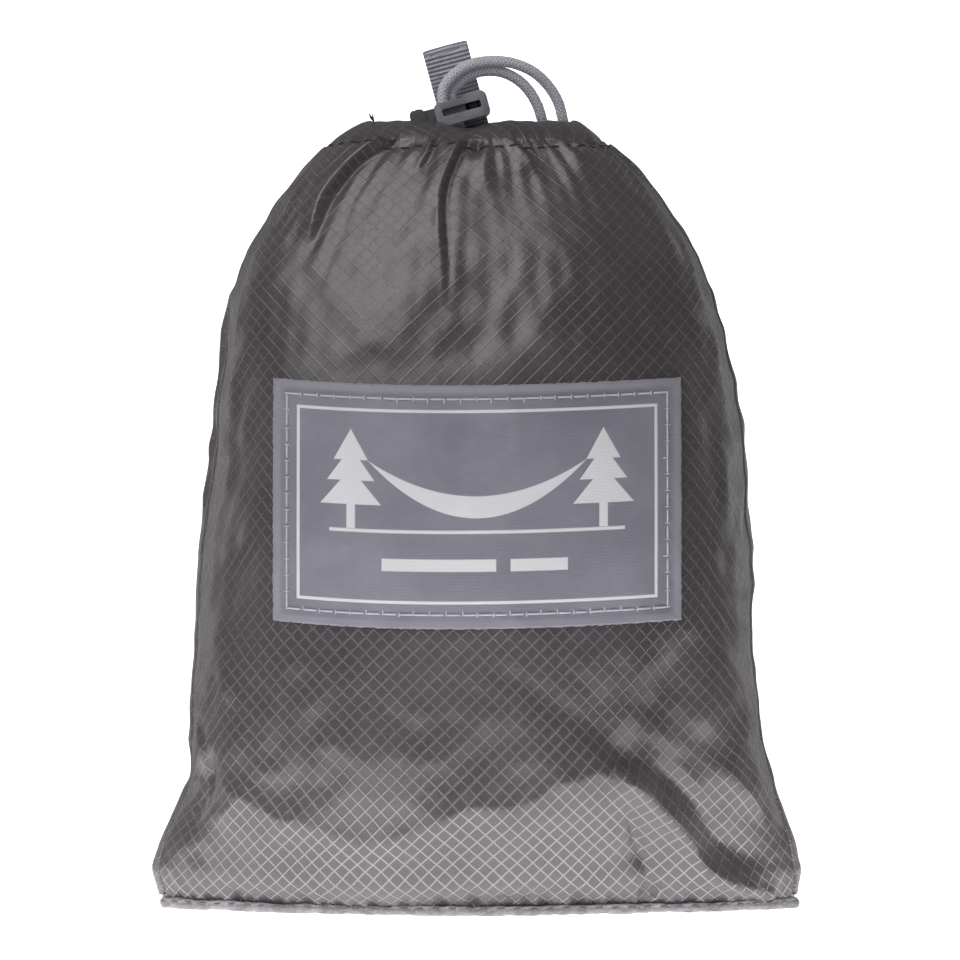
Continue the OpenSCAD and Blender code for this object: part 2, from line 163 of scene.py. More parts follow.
def new_object(name, verts, faces):
    """A smooth mesh object from points in mm."""
    mesh = bpy.data.meshes.new(name)
    mesh.from_pydata((np.reshape(verts, (-1, 3)) * MM).tolist(), [], faces)
    mesh.update()
    mesh.polygons.foreach_set("use_smooth", [True] * len(mesh.polygons))
    return linked(name, mesh)


def grid_faces(rows, cols, wrap):
    """Quads of a grid of rows x cols points, joined round its columns if wrap."""
    last = cols if wrap else cols - 1
    i, j = np.divmod(np.arange((rows - 1) * last), last)
    k = (j + 1) % cols
    return np.stack([i * cols + j, i * cols + k, (i + 1) * cols + k, (i + 1) * cols + j], -1).tolist()


def set_grid_uv(obj, u, v, wrap):
    """UVs in metres for an object whose first faces are a grid; u and v are given per corner."""
    rows, cols = v.shape
    last = cols if wrap else cols - 1
    i, j = np.divmod(np.arange((rows - 1) * last), last)
    k = (j + 1) % cols
    step = u[:, 1:2] - u[:, :1]
    uk = np.where(k == 0, u[i, j] + step[i, 0], u[i, k])
    um = np.where(k == 0, u[i + 1, j] + step[i + 1, 0], u[i + 1, k])
    uv = np.stack([u[i, j], v[i, j], uk, v[i, k], um, v[i + 1, k], u[i + 1, j], v[i + 1, j]], -1)
    flat = np.zeros(2 * len(obj.data.loops))
    flat[: uv.size] = uv.reshape(-1) * MM
    obj.data.uv_layers.new(name=CLOTH_UV).data.foreach_set("uv", flat)


class Heap:
    """Many small meshes gathered into one."""

    def __init__(self):
        self.verts, self.faces, self.count = [], [], 0

    def add(self, verts, faces):
        verts = np.reshape(verts, (-1, 3))
        self.verts.append(verts)
        self.faces += [[v + self.count for v in f] for f in faces]
        self.count += len(verts)

    def object(self, name):
        return new_object(name, np.vstack(self.verts), self.faces)


def frames_along(path):
    """Unit directions along a path, and two unit sides of each, turning as little as they can."""
    ahead = np.gradient(path, axis=0)
    ahead /= np.linalg.norm(ahead, axis=1, keepdims=True)
    side = np.cross(ahead[0], (0.0, 0.0, 1.0))
    if np.linalg.norm(side) < 0.1:
        side = np.cross(ahead[0], (0.0, 1.0, 0.0))
    sides = []
    for d in ahead:
        side = side - d * np.dot(side, d)
        side = side / np.linalg.norm(side)
        sides.append(side)
    sides = np.array(sides)
    return ahead, sides, np.cross(ahead, sides)


def even_path(path, step):
    """The same path with points at even steps of about the given length."""
    path = np.asarray(path, float)
    length = length_along(path)
    at = np.linspace(0, length[-1], max(3, int(round(length[-1] / step)) + 1))
    return np.stack([np.interp(at, length, path[:, k]) for k in range(3)], -1), at


def tube(path, radius, sides=8, relief=None):
    """Tube round a path: points and faces. relief(angle, length) adds to the radius."""
    path = np.asarray(path, float)
    _, one, two = frames_along(path)
    length = length_along(path)
    angle = np.linspace(0, 2 * np.pi, sides, endpoint=False)
    r = np.broadcast_to(radius, (len(path),))[:, None] + np.zeros(sides)
    if relief is not None:
        r = r + relief(angle[None, :], length[:, None])
    points = path[:, None] + r[..., None] * (
        np.cos(angle)[None, :, None] * one[:, None] + np.sin(angle)[None, :, None] * two[:, None]
    )
    faces = grid_faces(len(path), sides, True)
    faces.append(list(range(sides - 1, -1, -1)))
    faces.append([(len(path) - 1) * sides + k for k in range(sides)])
    return points, faces, length, angle


def thread(heap, points, radius, sides=7):
    """One thread through the points, thinner at both ends."""
    path = soft_line(points, 5)
    share = np.linspace(0, 1, len(path))
    taper = np.clip(np.sqrt(np.clip(1 - (2 * share - 1) ** 6, 0.05, 1)), 0.3, 1)
    verts, faces, _, _ = tube(path, radius * taper, sides)
    heap.add(verts, faces)


def finish_piece(obj, mat, slot, body, *nodes):
    """Gives a mesh its material, ties it to its body and hides the parts it stands for; the slot is not used."""
    obj.data.materials.clear()
    obj.data.materials.append(mat)
    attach(obj, body)
    if nodes:
        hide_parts(*nodes)
    return obj


# ---------------------------------------------------------------- materials
class Nodes:
    """A new material, and short calls for the shader nodes that it is made of."""

    def __init__(self, name):
        self.mat = bpy.data.materials.new(name)
        self.mat.use_nodes = True
        self.tree = self.mat.node_tree
        self.tree.nodes.clear()
        out = self.new("ShaderNodeOutputMaterial")
        self.shader = self.new("ShaderNodeBsdfPrincipled")
        self.tree.links.new(self.shader.outputs[0], out.inputs[0])
        self.place = self.new("ShaderNodeTexCoord").outputs["Object"]

    def done(self, base, rough, normal, **others):
        """Sets the colour, roughness, bump and any other sockets, and gives the material."""
        self.plug(self.shader.inputs["Base Color"], base)
        self.plug(self.shader.inputs["Roughness"], rough)
        self.plug(self.shader.inputs["Normal"], normal)
        for name, value in others.items():
            self.plug(self.shader.inputs[name.replace("_", " ")], value)
        return self.mat

    def new(self, kind, **settings):
        made = self.tree.nodes.new(kind)
        for key, value in settings.items():
            setattr(made, key, value)
        return made

    def plug(self, socket, value):
        if isinstance(value, bpy.types.NodeSocket):
            self.tree.links.new(value, socket)
        else:
            socket.default_value = value

    def plugged(self, made, values, output=0):
        for socket, value in zip(made.inputs, values):
            self.plug(socket, value)
        return made.outputs[output]

    def math(self, operation, *values):
        return self.plugged(self.new("ShaderNodeMath", operation=operation), values)

    def mul(self, a, b):
        return self.math("MULTIPLY", a, b)

    def add(self, a, b):
        return self.math("ADD", a, b)

    def sub(self, a, b):
        return self.math("SUBTRACT", a, b)

    def mad(self, a, b, c):
        """a times b, plus c."""
        return self.math("MULTIPLY_ADD", a, b, c)

    def top(self, a, b):
        return self.math("MAXIMUM", a, b)

    def size(self, a):
        return self.math("ABSOLUTE", a)

    def mix(self, factor, a, b):
        made = self.new("ShaderNodeMix", data_type="RGBA")
        for index, value in ((0, factor), (6, a), (7, b)):
            self.plug(made.inputs[index], value)
        return made.outputs[2]

    def noise(self, vector, scale, detail=3.0, roughness=0.55):
        made = self.new("ShaderNodeTexNoise")
        for key, value in (("Vector", vector), ("Scale", scale), ("Detail", detail), ("Roughness", roughness)):
            self.plug(made.inputs[key], value)
        return made.outputs[0]

    def ramp(self, value, lo, hi, out_lo=0.0, out_hi=1.0):
        made = self.new("ShaderNodeMapRange", interpolation_type="SMOOTHSTEP")
        return self.plugged(made, (value, lo, hi, out_lo, out_hi))

    def split(self, vector):
        made = self.new("ShaderNodeSeparateXYZ")
        self.plug(made.inputs[0], vector)
        return made.outputs[:3]

    def join(self, x, y, z=0.0):
        return self.plugged(self.new("ShaderNodeCombineXYZ"), (x, y, z))

    def cut(self):
        """Where a point lies in the flat cloth, in metres across and along it."""
        return self.split(self.new("ShaderNodeUVMap", uv_map=CLOTH_UV).outputs[0])[:2]

    def bias(self, u, v):
        """The same place on axes turned by 45 degrees."""
        return self.mul(self.add(u, v), DIAGONAL), self.mul(self.sub(u, v), DIAGONAL)

    def bump(self, height, strength, distance, normal=None):
        made = self.new("ShaderNodeBump")
        made.inputs["Strength"].default_value = strength
        made.inputs["Distance"].default_value = distance
        self.plug(made.inputs["Height"], height)
        if normal is not None:
            self.plug(made.inputs["Normal"], normal)
        return made.outputs[0]

    def threads(self, value, pitch, width):
        """1 along evenly spaced lines of a coordinate in metres, 0 between them."""
        share = self.math("FRACT", self.math("DIVIDE", value, pitch))
        off = self.size(self.sub(share, 0.5))
        return self.ramp(off, 0.5 - width / pitch, 0.5 - 0.35 * width / pitch)

    def wave(self, value, pitch):
        turn = self.mul(value, 2 * math.pi / pitch)
        return self.mad(self.math("SINE", turn), 0.5, 0.5)


def srgb(r, g, b):
    """Linear colour from display values of 0 to 255."""
    def one(v):
        v /= 255
        return v / 12.92 if v <= 0.04045 else ((v + 0.055) / 1.055) ** 2.4
    return (one(r), one(g), one(b), 1.0)


def ripstop_material(name, dark, light, thread_colour, pitch=RIPSTOP_PITCH):
    """Thin coated nylon with a raised diamond grid of thicker threads; near the base the threads are painted lighter
    and more metallic, a painted glint.
    """
    n = Nodes(name)
    across, along = n.bias(*n.cut())
    line_a, line_b = n.threads(across, pitch, 0.24 * MM), n.threads(along, pitch, 0.24 * MM)
    grid, cross = n.top(line_a, line_b), n.mul(line_a, line_b)
    weave = n.mul(n.wave(across, 0.22 * MM), n.wave(along, 0.22 * MM))
    cloud = n.noise(n.place, 38.0, 4.0)
    fine = n.noise(n.place, 1400.0, 2.0)
    slub = n.noise(n.join(n.mul(across, 0.15), along), 2600.0, 2.0)
    base = n.mix(n.ramp(cloud, 0.35, 0.65), dark, light)
    base = n.mix(n.mul(n.mul(fine, slub), 0.08), base, thread_colour)
    patch = n.noise(n.place, 55.0, 3.0)
    # Painted glint: up to about 30 mm, fading out by 52 mm, the grid threads turn lighter and more metallic in place
    # of the floor's reflection.
    painted_base_glint = n.ramp(n.mad(patch, 0.022, n.split(n.place)[2]), 0.052, 0.030)
    # worn: random patches, a steady gloss of the threads, and the painted glint band near the base.
    worn = n.mad(n.ramp(patch, 0.45, 0.65), 0.12, n.mad(painted_base_glint, 0.62, 0.26))
    shine = n.mul(grid, worn)
    rough = n.mad(grid, -0.04, n.mad(cloud, 0.10, 0.22))
    height = n.mad(cross, 0.35, n.mad(weave, 0.16, grid))
    normal = n.bump(n.noise(n.place, 120.0, 5.0, 0.6), 0.35, 0.9 * MM)
    return n.done(n.mix(shine, base, thread_colour), n.mad(fine, 0.08, rough),
                  n.bump(height, 0.6, 0.10 * MM, normal), Metallic=shine, Specular_IOR_Level=1.0,
                  Coat_Weight=0.12, Coat_Roughness=0.30, Sheen_Weight=0.18, Sheen_Roughness=0.35)


def thread_material(name, dark, light):
    """Twisted sewing thread."""
    n = Nodes(name)
    x, y, z = n.split(n.place)
    ply = n.wave(n.add(n.add(x, y), z), 0.16 * MM)
    fuzz = n.noise(n.place, 3200.0)
    base = n.mix(n.mul(fuzz, 0.35), n.mix(n.mul(ply, 0.6), light, dark), light)
    return n.done(base, n.mad(fuzz, 0.2, 0.45), n.bump(n.add(ply, fuzz), 0.5, 0.05 * MM), Sheen_Weight=0.4)


def braid_material(name, dark, light, fleck):
    """Braided cord, from places round and along it."""
    n = Nodes(name)
    u, v = n.cut()
    pitch = BRAID_PITCH * MM
    braid = n.top(n.wave(n.add(u, v), pitch), n.wave(n.sub(u, v), pitch))
    lay = n.wave(n.mad(u, 0.5, v), pitch * 0.22)
    fuzz = n.noise(n.place, 1800.0)
    worn = n.noise(n.place, 160.0)
    shade = n.ramp(braid, 0.25, 0.85)
    base = n.mix(n.mul(lay, 0.18), n.mix(shade, dark, light), dark)
    base = n.mix(n.ramp(worn, 0.45, 0.7, 0.0, 0.25), base, fleck)
    height = n.mad(fuzz, 0.3, n.mad(lay, 0.25, shade))
    return n.done(n.mix(n.mul(fuzz, 0.2), base, light), n.mad(fuzz, 0.22, 0.48),
                  n.bump(height, 0.7, 0.12 * MM), Sheen_Weight=0.35, Sheen_Roughness=0.4)


def webbing_material():
    """Flat woven webbing, from places across and along the strap."""
    n = Nodes("webbing")
    u, v = n.cut()
    rib = n.wave(v, WEB_RIB * MM)
    warp = n.wave(n.add(u, n.mul(rib, 0.06 * MM)), 0.42 * MM)
    fuzz = n.noise(n.place, 2200.0)
    fade = n.noise(n.place, 150.0)
    height = n.mul(n.mad(rib, 0.75, 0.25), n.mad(warp, 0.5, 0.5))
    # Painted shade: the hollows between ribs and warp cords are coloured dark, the raised tops light.
    base = n.mix(n.ramp(height, 0.15, 0.75), srgb(74, 72, 84), srgb(206, 204, 218))
    base = n.mix(n.ramp(fade, 0.4, 0.7, 0.0, 0.3), base, srgb(172, 170, 183))
    base = n.mix(n.mul(fuzz, 0.2), base, srgb(216, 214, 226))
    return n.done(base, n.mad(fuzz, 0.2, 0.45), n.bump(n.mad(fuzz, 0.2, height), 0.8, 0.14 * MM),
                  Sheen_Weight=0.3)


def plastic_material(name, dark, light, gloss):
    """Moulded plastic with a fine spark-eroded grain and handling wear."""
    n = Nodes(name)
    grain = n.noise(n.place, 4200.0, 2.0)
    cloud = n.noise(n.place, 240.0, 4.0)
    x, y, z = n.split(n.place)
    scuff = n.noise(n.join(x, y, n.mul(z, 5.0)), 900.0, 4.0)
    base = n.mix(n.ramp(cloud, 0.35, 0.7), dark, light)
    base = n.mix(n.ramp(scuff, 0.62, 0.75, 0.0, 0.35), base, srgb(168, 167, 172))
    return n.done(base, n.mad(cloud, 0.12, n.mad(grain, 0.15, gloss)), n.bump(grain, 0.25, 0.05 * MM))


def metal_material(name, dark, light, rough):
    """Anodised or drawn metal with fine lines and small scratches."""
    n = Nodes(name)
    x, y, z = n.split(n.place)
    lines = n.noise(n.join(n.mul(x, 0.08), y, z), 3600.0)
    cloud = n.noise(n.place, 130.0)
    scratch = n.noise(n.join(x, n.mul(y, 0.1), z), 1500.0, 5.0)
    worn = n.ramp(scratch, 0.6, 0.68, 0.0, 0.4)
    base = n.mix(worn, n.mix(n.ramp(cloud, 0.3, 0.7), dark, light), srgb(205, 205, 210))
    return n.done(base, n.mad(lines, 0.18, rough), n.bump(n.add(lines, worn), 0.2, 0.04 * MM), Metallic=1.0)


def hem_material():
    """Turned fabric edge, seen edge on, with needle dimples and crinkles, coloured far lighter than the sack's nylon
    as painted light from the bright floor.
    """
    n = Nodes("hem_fabric")
    grid = n.top(*[n.threads(way, RIPSTOP_PITCH, 0.22 * MM) for way in n.bias(*n.cut())])
    cloud = n.noise(n.place, 210.0, 4.0, 0.6)
    fine = n.noise(n.place, 1500.0)
    # Painted light: the turned nylon gets colours about twice as light as the sack's own.
    base = n.mix(n.ramp(cloud, 0.3, 0.7), srgb(128, 124, 128), srgb(164, 160, 164))
    base = n.mix(n.mul(grid, 0.35), base, srgb(192, 189, 192))
    base = n.mix(n.mul(fine, 0.2), base, srgb(112, 106, 110))
    normal = n.bump(n.mad(grid, 0.3, cloud), 0.5, 0.5 * MM)
    return n.done(base, n.mad(fine, 0.15, 0.42), n.bump(fine, 0.35, 0.08 * MM, normal),
                  Specular_IOR_Level=0.8, Sheen_Weight=0.2)


LABEL_W, LABEL_H, LABEL_Z = 86.0, 51.0, 88.3


def label_material():
    """Woven satin label: frame line, a plain camp drawing of a sling between two trees, and bars."""
    n = Nodes("woven_label")
    u, v = n.cut()

    def inside(distance, soft=0.12):
        return n.ramp(distance, soft * MM, -soft * MM)

    def past(value, centre, reach):
        """How far a coordinate is beyond its reach from the centre."""
        return n.sub(n.size(n.sub(value, centre * MM)), reach * MM)

    def outside(x, y, w, h):
        return n.top(past(u, x, w), past(v, y, h))

    def tree(x, y, w, h):
        """A tier of a tree: a triangle standing on y."""
        rise = n.sub(v, y * MM)
        return inside(n.top(n.mad(rise, w / h, past(u, x, w)), n.mul(rise, -1.0)))

    def sling(half, top, sag, thick):
        share = n.math("DIVIDE", u, half * MM)
        bow = n.sub(1.0, n.mul(share, share))
        middle = n.mad(bow, -sag * MM, top * MM)
        off = n.sub(n.size(n.sub(v, middle)), n.mul(bow, thick * MM))
        return inside(n.top(off, past(u, 0, half)))

    line = inside(n.sub(n.size(outside(0, 0, 37.6, 20.0)), 0.32 * MM), 0.08)
    art = [line, sling(23.0, 9.5, 9.5, 2.3), sling(23.0, 9.5, 9.5, 0.0)]
    boxes = [(0.0, -5.2, 31.0, 0.35), (-8.0, -12.2, 12.0, 1.3), (13.0, -12.2, 6.0, 1.3)]
    for x in (-26.5, 26.5):
        art += [tree(x, 9.5, 3.6, 6.5), tree(x, 5.2, 5.0, 7.0), tree(x, 0.2, 6.4, 7.6)]
        boxes.append((x, -2.2, 0.9, 2.6))
    art = reduce(n.top, art + [inside(outside(*box)) for box in boxes])
    weft, warp = n.wave(v, 0.30 * MM), n.wave(u, 0.22 * MM)
    twill = n.wave(n.add(u, n.mul(v, 2.0)), 0.9 * MM)
    cloud = n.noise(n.place, 70.0)
    streak = n.noise(n.join(n.mul(u, 0.12), v), 2600.0)
    ground = n.mix(n.ramp(cloud, 0.3, 0.7), srgb(136, 133, 147), srgb(151, 148, 162))
    edge = inside(n.mul(outside(0, 0, 41.4, 23.9), -1.0), 0.4)
    ground = n.mix(edge, ground, srgb(158, 156, 168))
    ground = n.mix(n.mul(n.mul(weft, warp), 0.30), ground, srgb(104, 101, 114))
    ground = n.mix(n.ramp(streak, 0.5, 0.8, 0.0, 0.25), ground, srgb(172, 170, 183))
    white = n.mix(n.mul(weft, 0.16), srgb(243, 242, 247), srgb(205, 203, 213))
    rough = n.mad(art, 0.14, n.mad(streak, 0.2, 0.38))
    height = n.mad(art, 1.4, n.mad(twill, 0.3, n.mul(weft, n.mad(warp, 0.5, 0.5))))
    return n.done(n.mix(art, ground, white), rough, n.bump(height, 0.55, 0.09 * MM),
                  Specular_IOR_Level=0.6, Sheen_Weight=0.3)


# ---------------------------------------------------------------- camera and light
CAMERA_LIFT = 1.5  # degrees above level
CAMERA_FAR = 1.5  # m
CAMERA_AIM = Vector((0.0006, 0, 0.0916))
SENSOR = 36.0
VIEW_HEIGHT = 0.2055  # m of the scene from the top to the bottom of the picture
FLOOR_Z, FLOOR_CAP, STUDIO_FAR = -0.4, 60, 3000
FLAG_NEAR, FLAG_FAR = 160, 1800  # mm: the floor between these sheds no light on the sack
FLOOR_GLOW, WALL_GLOW, SKY_GLOW = 1.50, 1.0, 0.16
KEY_WATTS, RIM_WATTS = 6.5, 0.5
LIGHT_AIM = Vector((0, 0, 0.09))


def make_camera():
    data = bpy.data.cameras.new("camera")
    data.sensor_width = SENSOR
    lift = math.radians(CAMERA_LIFT)
    data.lens = SENSOR * CAMERA_FAR / VIEW_HEIGHT
    camera = linked("camera", data)
    camera.location = CAMERA_AIM + CAMERA_FAR * Vector((0, -math.cos(lift), math.sin(lift)))
    camera.rotation_euler = (math.radians(90) - lift, 0, 0)
    bpy.context.scene.camera = camera


def area_light(name, place, size, power):
    """A soft light that shines on the middle of the sack."""
    data = bpy.data.lights.new(name, "AREA")
    data.shape = "RECTANGLE"
    data.size, data.size_y = size
    data.energy = power
    light = linked(name, data)
    light.location = place
    light.rotation_euler = (LIGHT_AIM - Vector(place)).to_track_quat("-Z", "Y").to_euler()


def stage_grid(name, rows, mat, around=64, closed=False):
    """A surface of revolution round the z axis for the studio, from (radius, height) rows in mm."""
    angle = np.linspace(0, 2 * np.pi, around, endpoint=False)
    points = [np.stack([r * np.cos(angle), r * np.sin(angle), z + 0 * angle], -1) for r, z in rows]
    faces = grid_faces(len(rows), around, True)
    if closed:
        faces.append(list(range(around - 1, -1, -1)))
    obj = new_object(name, points, faces)
    obj.data.materials.append(mat)
    return obj


def paper(name, colour, glow):
    """Matt paper or cloth for the studio, with a light of its own."""
    n = Nodes(name)
    base = n.mix(n.noise(n.place, 300.0, 2.0), (colour,) * 3 + (1,), (colour + 0.02,) * 3 + (1,))
    looks = {"Base Color": base, "Roughness": 0.9, "Emission Color": (1, 1, 1, 1), "Emission Strength": glow}
    for key, value in looks.items():
        n.plug(n.shader.inputs[key], value)
    return n.mat


def make_studio():
    """Round white floor, a white wall far away, soft lights, and a black flag that the camera doesn't see."""
    bpy.context.scene.view_settings.view_transform = "Standard"
    floor = stage_grid("floor", [(r, FLOOR_Z) for r in np.geomspace(FLOOR_CAP, STUDIO_FAR, 12)],
                       paper("studio_floor", 0.80, FLOOR_GLOW), closed=True)
    wall = stage_grid("studio_wall", [(STUDIO_FAR, z) for z in np.linspace(FLOOR_Z, 2600, 6)],
                      paper("studio_wall_paper", 0.80, WALL_GLOW))
    wall.visible_diffuse = wall.visible_glossy = wall.visible_shadow = False
    flag = stage_grid("black_flag", [(r, 2.0) for r in np.geomspace(FLAG_NEAR, FLAG_FAR, 8)],
                      paper("black_flag_cloth", 0.02, 0.0), around=72)
    flag.visible_camera = flag.visible_shadow = False
    world = bpy.data.worlds.new("studio")
    bpy.context.scene.world = world
    world.use_nodes = True
    sky = world.node_tree.nodes["Background"]
    sky.inputs[0].default_value = (1, 1, 1, 1)
    sky.inputs[1].default_value = SKY_GLOW
    area_light("key", (-0.45, -0.75, 0.85), (1.0, 1.0), KEY_WATTS)
    for name, x in (("rim_left", -0.75), ("rim_right", 0.75)):
        area_light(name, (x, 0.55, 0.25), (0.20, 0.7), RIM_WATTS)


# ---------------------------------------------------------------- drawcord
STRAND_A = [
    (-5.5, -3.2, 165.8), (-6.2, -3.2, 168.6), (-6.9, -3.2, 171.2), (-7.4, -3.2, 173.2), (-7.0, -3.2, 175.6),
    (-5.0, -3.1, 178.2), (-1.6, -2.6, 180.3), (3.0, -1.6, 181.1), (7.6, -0.4, 180.7), (11.8, 0.9, 179.0),
    (15.0, 2.1, 176.2), (17.2, 3.1, 172.8), (18.2, 3.8, 169.4), (18.6, 4.7, 167.0), (18.8, 6.6, 165.9),
    (18.9, 8.4, 165.9),
]
STRAND_B = [
    (-3.6, -1.0, 166.3), (-4.1, -1.0, 168.4), (-4.8, -1.0, 171.2), (-5.5, -1.0, 173.7), (-4.6, -0.9, 175.8),
    (-2.2, -0.7, 177.9), (1.2, -0.2, 179.0), (5.0, 0.6, 178.9), (8.4, 1.5, 177.4), (11.0, 2.3, 175.0),
    (12.8, 3.1, 172.0), (13.7, 3.8, 169.4), (14.2, 4.6, 167.2), (14.5, 6.6, 165.9), (14.7, 9.2, 165.9),
]
CORD_D = 2.3
BRAID_PITCH = 0.80
BRAID_YARNS = 6


def braid_relief(pitch, depth):
    """Ridges of two sets of braided yarns that cross over and under each other."""
    def relief(angle, length):
        one = np.abs(np.cos(0.5 * (BRAID_YARNS * angle + 2 * np.pi * length / pitch)))
        two = np.abs(np.cos(0.5 * (BRAID_YARNS * angle - 2 * np.pi * length / pitch)))
        return depth * (np.maximum(one, two) - 0.85)
    return relief


def braided_cord(name, route, diameter, pitch=1.8, depth=0.13, sides=36, step=0.16):
    path, _ = even_path(soft_line(route, 16), step)
    verts, faces, length, angle = tube(path, diameter / 2, sides, braid_relief(pitch, depth))
    obj = new_object(name, verts, faces)
    around = np.broadcast_to(angle[None, :] / (2 * np.pi) * BRAID_YARNS * BRAID_PITCH, (len(path), sides))
    set_grid_uv(obj, around, np.broadcast_to(length[:, None], (len(path), sides)), True)
    return obj, path


def make_drawcord():
    mat = braid_material("drawcord_braid", srgb(172, 169, 181), srgb(228, 226, 236),
                         srgb(182, 180, 190))
    for name, route in (("drawcord_strand_a", STRAND_A), ("drawcord_strand_b", STRAND_B)):
        obj, path = braided_cord(name + "_braid", route, CORD_D)
        finish_piece(obj, mat, "drawcord_braid", SACK, name)
    turn = np.linspace(0, 2 * np.pi, 180, endpoint=False)
    loop = 0.62 * np.stack([
        np.sin(turn) + 2 * np.sin(2 * turn), np.cos(turn) - 2 * np.cos(2 * turn), -1.5 * np.sin(3 * turn)], -1)
    heap = Heap()
    centre = np.array([-4.5, -2.1, 163.2])
    verts, faces, _, _ = tube(np.vstack([loop, loop[:2]]) + centre, 1.02, 20, braid_relief(1.8, 0.1))
    heap.add(verts, faces)
    for dx, lean in ((-1.2, -0.9), (1.2, 0.8)):
        tail = [(dx * 0.5, 0, -1.0), (dx, 0.2, -3.0), (dx + lean, 0.2, -5.6)]
        tail = soft_line([centre + step for step in tail], 14)
        end = smooth(0.82, 1.0, np.linspace(0, 1, len(tail)))
        verts, faces, _, _ = tube(tail, 1.0 + 0.25 * end, 20, braid_relief(1.8, 0.12))
        heap.add(verts, faces)
    finish_piece(heap.object("drawcord_knot_tied"), mat, "drawcord_braid", SACK, "drawcord_knot")
    ring = []
    for t in np.linspace(math.radians(50), math.radians(50) + 2 * np.pi - 0.25, 200):
        x, y = oval(25.6, 8.6, 2.2, t)
        ring.append((x - 2.4, y, NECK_Z + 0.8))
    obj, _ = braided_cord("drawcord_ring_braid", ring[::8], CORD_D, sides=20, step=0.5)
    finish_piece(obj, mat, "drawcord_braid", SACK, "drawcord_ring")


make_camera()
make_studio()
make_drawcord()

# ---------------------------------------------------------------- sack cloth
COLUMNS = 400
WALL_ROWS = 150
CLOTH_ROUND = 306.0
CASING_SECTION = [
    (2.1, 0.0), (1.7, 1.2), (0.7, 2.6), (-0.7, 3.9), (-2.3, 4.9), (-3.6, 5.2), (-4.8, 4.6), (-5.4, 3.2), (-5.2, 1.2),
    (-4.4, -1.5),
]
SHARES = np.arange(COLUMNS) / COLUMNS
LINING_END = 118.0


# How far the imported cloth's left and right edges stand out from the even outline, by height.
EDGE_HEIGHTS = [0, 4, 10, 20, 28, 36, 45, 62, 80, 96, 113, 131, 139, 148, 157, 164, 169]
EDGE_LEFT = [0.6, 1.4, 0.8, -0.2, -1.3, 0.5, 0.6, 0.0, -1.3, -2.3, -2.0, 0.0, -0.8, -0.6, -0.6, -0.3, -2.5]
EDGE_RIGHT = [2.0, 1.8, 0.2, -0.3, -0.4, -1.8, -1.3, -0.9, -0.6, -0.8, -1.0, -1.7, -2.1, -3.2, -3.8, -5.0, -5.8]


def settle(x, z):
    """Moves a point of the even outline sideways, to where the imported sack's edge lies."""
    left, right = np.interp(z, EDGE_HEIGHTS, EDGE_LEFT), np.interp(z, EDGE_HEIGHTS, EDGE_RIGHT)
    part = np.clip(np.abs(x) / profile(z)[0], 0, 1.1) ** 1.5
    return x + np.where(x > 0, right, -left) * part


def ring(z):
    """Evenly spaced points of the wall at height z, and the length round it."""
    a, b, n = profile(z)
    x, y, size = even_oval(float(a), float(b), float(n), SHARES)
    return np.stack([settle(x, z), y, z + 0 * x], -1), size


def outward(points):
    """Unit outward normals of a grid that closes round its columns."""
    along = np.roll(points, -1, 1) - np.roll(points, 1, 1)
    up = np.gradient(points, axis=0)
    normal = np.cross(along, up)
    return normal / np.maximum(np.linalg.norm(normal, axis=2, keepdims=True), 1e-12)


def line_place(x, z, route):
    """Signed distance from a line, positive on its left, and the share of the way along it."""
    line = soft_line(route, 6)
    length = np.concatenate([[0], np.cumsum(np.hypot(*np.diff(line, axis=0).T))])
    best, side, along = np.full(x.shape, 1e9), np.ones(x.shape), np.zeros(x.shape)
    for k in range(len(line) - 1):
        (x0, z0), (dx, dz) = line[k], line[k + 1] - line[k]
        size = length[k + 1] - length[k]
        s = np.clip(((x - x0) * dx + (z - z0) * dz) / size**2, 0, 1)
        px, pz = x - x0 - s * dx, z - z0 - s * dz
        away = np.hypot(px, pz)
        near = away < best
        best = np.where(near, away, best)
        side = np.where(near, np.sign(dx * pz - dz * px), side)
        along = np.where(near, (length[k] + s * size) / length[-1], along)
    return best * side, along


def fold_over(d, height, high, low, edge=0.55):
    """A lapped fold: high on the positive side of its line, a groove on the other."""
    step = smooth(-edge, edge, d)
    return height * (step * np.exp(-np.maximum(d, 0) / high) - 0.4 * (1 - step) * np.exp(-np.maximum(-d, 0) / low))


def crest(d, height, width, soft=0.5):
    return height * np.exp(-(np.sqrt(d**2 + soft**2) - soft) / width)


